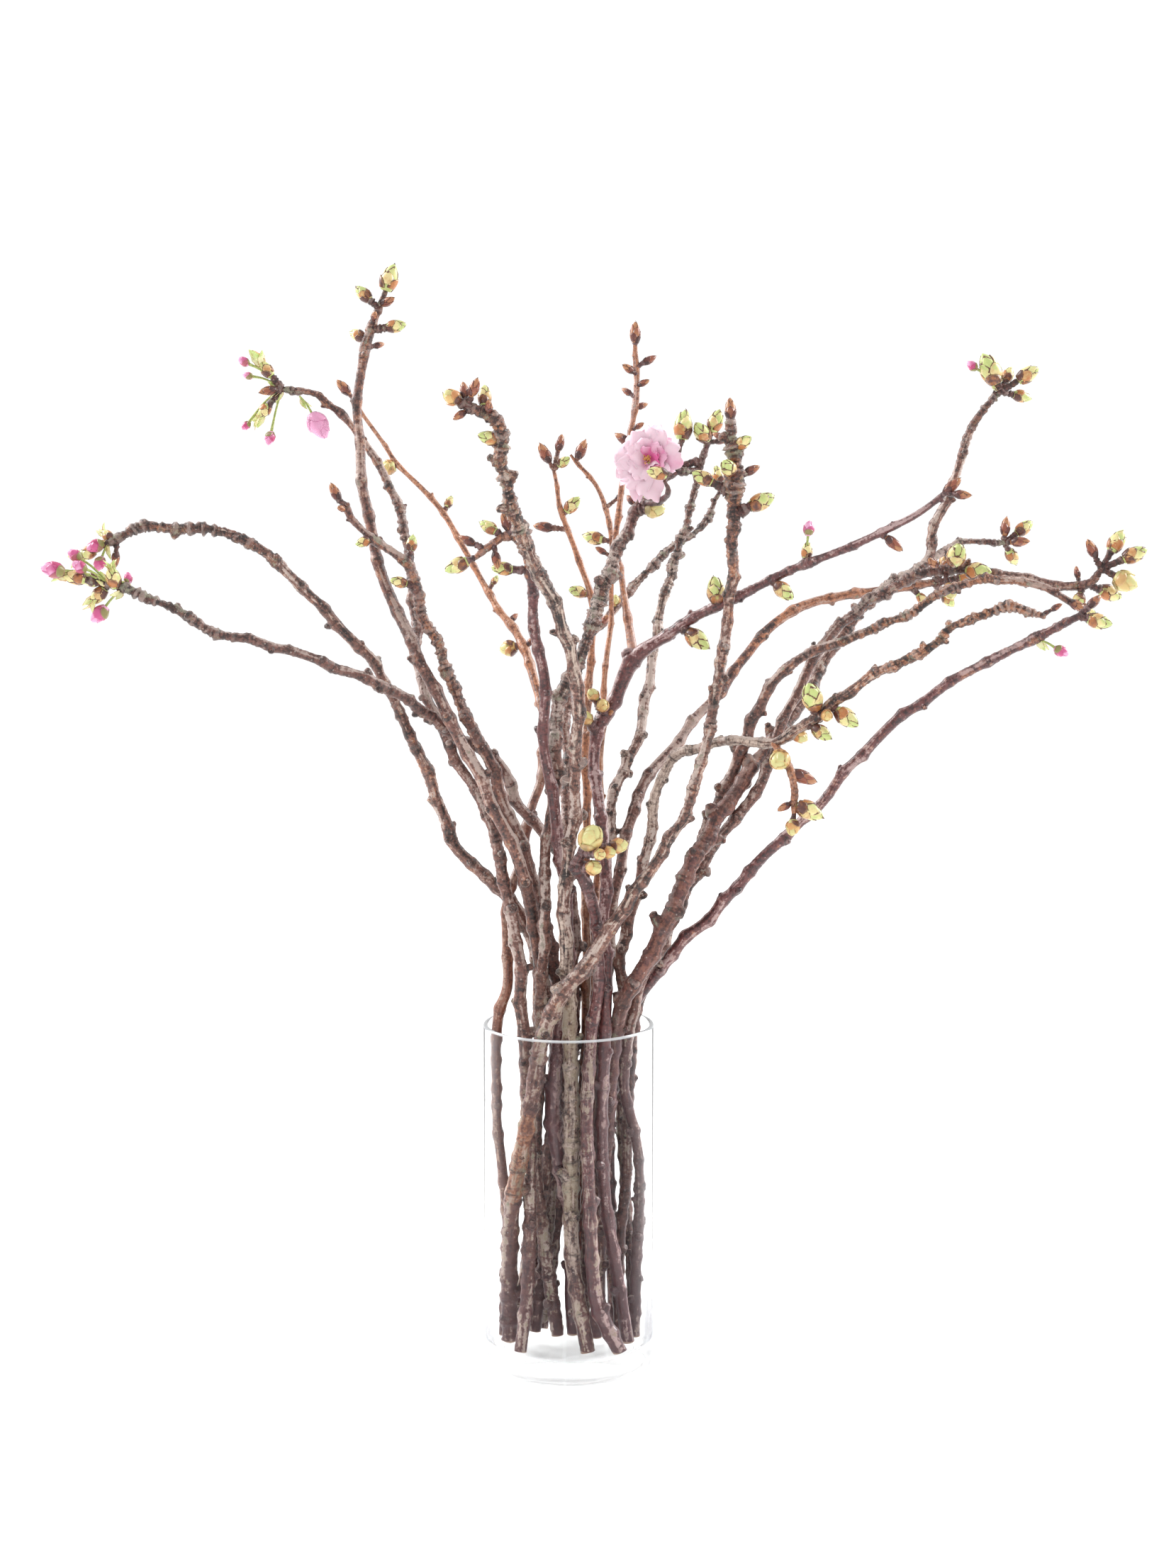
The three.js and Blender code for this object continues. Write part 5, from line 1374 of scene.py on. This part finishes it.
petal_points, petal_faces, pink_and_fold_shade = [], [], []
chance = random.Random(7)
for clock, length, width, lift, depth in PETALS:
    turn = math.radians(CLOCK_START - clock + chance.uniform(-4, 4))
    twist = chance.uniform(-0.22, 0.22)
    phase = chance.uniform(0, 6)
    pleats = chance.uniform(2.2, 4.2)
    petal_faces += two_sided(len(petal_points), PETAL_STEPS, PETAL_STEPS)
    for n in range(2 * (PETAL_STEPS + 1) ** 2):
        side, spot = divmod(n, (PETAL_STEPS + 1) ** 2)
        v = spot // (PETAL_STEPS + 1) / PETAL_STEPS
        u = 2 * (spot % (PETAL_STEPS + 1)) / PETAL_STEPS - 1
        # The edge is notched at its middle and frayed, and pleats and small waves lift the sheet.
        notch = 1 - 0.1 * math.exp(-((u / 0.14) ** 2)) * v ** 6 - 0.2 * u * u * v ** 3
        notch += (0.035 * math.sin(5 * u + phase) + 0.014 * math.sin(13 * u + 2 * phase)) * v ** 4
        lean = lift + 0.3 * v * v - 0.12 + 0.14 * math.sin(2.5 * u + phase) * v
        wave = math.sin(pleats * u + 2 * v + phase) + 0.22 * math.sin(7 * u + 2 * phase) * v
        high = length * v * notch * math.cos(lean) + 2.3 * (0.5 * u * u * v + wave * v ** 1.5)
        high -= side * PETAL_THICKNESS * math.sin(lean)
        out = length * v * notch * math.sin(lean) - 0.7 * math.sin(7 * u + phase) * v ** 3
        out += side * PETAL_THICKNESS * math.cos(lean) + PETAL_FOOT
        spread = math.sin(math.pi * (0.08 + 0.68 * v)) ** 0.7
        over = u * width * spread / 2 + twist * length * v * v * 0.3
        petal_points.append((out * math.cos(turn) - over * math.sin(turn), high,
                             -out * math.sin(turn) - over * math.cos(turn)))
        # The colour deepens to the foot, and the folds are darkened as painted shade.
        pink_and_fold_shade.append((1 - v) ** 1.5 * 0.75 + depth + 0.38 * max(0.0, -wave) * v)
bloom_mesh = shell("open_blossom", (bloom_place(petal_points) / 1000).tolist(), petal_faces, blush=pink_and_fold_shade)
blossom = stood("open_blossom", bloom_mesh)
petal_finish, bench = finish_bench("blossom petals")
place = bench.place()
veins = bench.noise(place, 900.0, 3.0)
cloud = bench.noise(place, 130.0, 2.0)
tone = bench.read("blush") + (cloud - 0.5) * 0.7 + (veins - 0.5) * 0.12
colour = bench.blend(tone.ramp(0.05, 0.6), (0.79, 0.58, 0.66), (0.75, 0.38, 0.53))
colour = bench.blend(tone.ramp(0.55, 1.1), colour, (0.70, 0.11, 0.32))
surface(bench, {"Base Color": colour, "Roughness": veins * 0.2 + 0.45, "Sheen Weight": 0.15,
                "Normal": bench.bump(0.25, 0.0006, veins * 0.15 + cloud * 0.6),
                "Subsurface Weight": 0.3, "Subsurface Radius": (0.004, 0.0025, 0.003),
                "Specular IOR Level": 0.3})
bloom_mesh.materials.append(petal_finish)
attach(blossom, "root")
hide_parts("bloom")

# The throat holds a brush of orange-brown stamens, and a green cup and stalk carry the blossom.
BLOOM_STALK = [(56, 9, 631), (53, 13, 622)]
head, neck = next(stem["rings"] for stem in stems if stem["branch"] == "bloom_bearing")[:2, :3]
up = (head - neck) / np.linalg.norm(head - neck)
inside_cup = BLOOM_CENTRE - 3 * np.array(BLOOM_FACES)
stalk = smooth_line(np.array([inside_cup, *BLOOM_STALK, head + up * 0.4]), 1.2)
t = np.linspace(1, 0, len(stalk))
lines = [(stalk, 1.15 + 1.9 * t ** 5, t * 20, 0 * t, 0 * t)]
stalk_values["Lump"] = 0.1
piece = dressed("blossom_stalk", route_mesh("blossom_stalk", lines), bark_bench, stalk_values)
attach(piece, "root")

STAMENS = 34
stamen_finish, bench = finish_bench("stamens")
tip = bench.read("along").ramp(0.004, 0.0062)
surface(bench, {"Base Color": bench.blend(tip, (0.50, 0.13, 0.12), (0.50, 0.22, 0.05)),
                "Roughness": 0.55})
lines = []
for _ in range(STAMENS):
    lean = chance.uniform(0, 0.5)
    turn = chance.uniform(0, 2 * math.pi)
    long = chance.uniform(5, 8)
    way = (math.sin(lean) * math.cos(turn), math.cos(lean), math.sin(lean) * math.sin(turn))
    t = np.linspace(0, 1, 6)
    points = bloom_place(np.outer(t * long, way) + (0, 1.0, 0))
    lines.append((points, 0.18 + 0.42 * (t > 0.85), t * long, 0 * t, 0 * t))
stalk_values.update({"Sides": 5, "Lump": 0.0, "Bark": stamen_finish})
piece = dressed("stamens", route_mesh("stamens", lines), bark_bench, stalk_values)
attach(piece, "root")

# ---- Floor, backdrop and lights ---------------------------------------------------------------
# A white paper floor that runs on past sight, under a white sky that lights it from all round, and
# two soft lamps behind the vase at the sides.
FLOOR_REACH = 30
floor_mesh = bpy.data.meshes.new("floor")
floor_mesh.from_pydata([(-FLOOR_REACH, -FLOOR_REACH, 0), (FLOOR_REACH, -FLOOR_REACH, 0),
                        (FLOOR_REACH, FLOOR_REACH, 0), (-FLOOR_REACH, FLOOR_REACH, 0)], [], [(0, 1, 2, 3)])
floor = stood("floor", floor_mesh)
floor_finish, bench = finish_bench("white paper")
surface(bench, {"Base Color": (0.97, 0.97, 0.97), "Roughness": 0.9})
floor_mesh.materials.append(floor_finish)

sky = bpy.data.worlds.new("white studio")
scene.world = sky
sky.use_nodes = True
sky.node_tree.nodes["Background"].inputs["Color"].default_value = (1, 1, 1, 1)
sky.node_tree.nodes["Background"].inputs["Strength"].default_value = 1.07
for name, place, watts in (("left", (-1.9, 0.9, 1.7), 62), ("right", (1.9, 0.9, 1.5), 48)):
    lamp = stood(name, bpy.data.lights.new(name, "AREA"))
    lamp.location = place
    lamp.rotation_euler = (Vector((0, 0, 0.4)) - Vector(place)).to_track_quat("-Z", "Y").to_euler()
    lamp.data.size = 1.0
    lamp.data.energy = watts
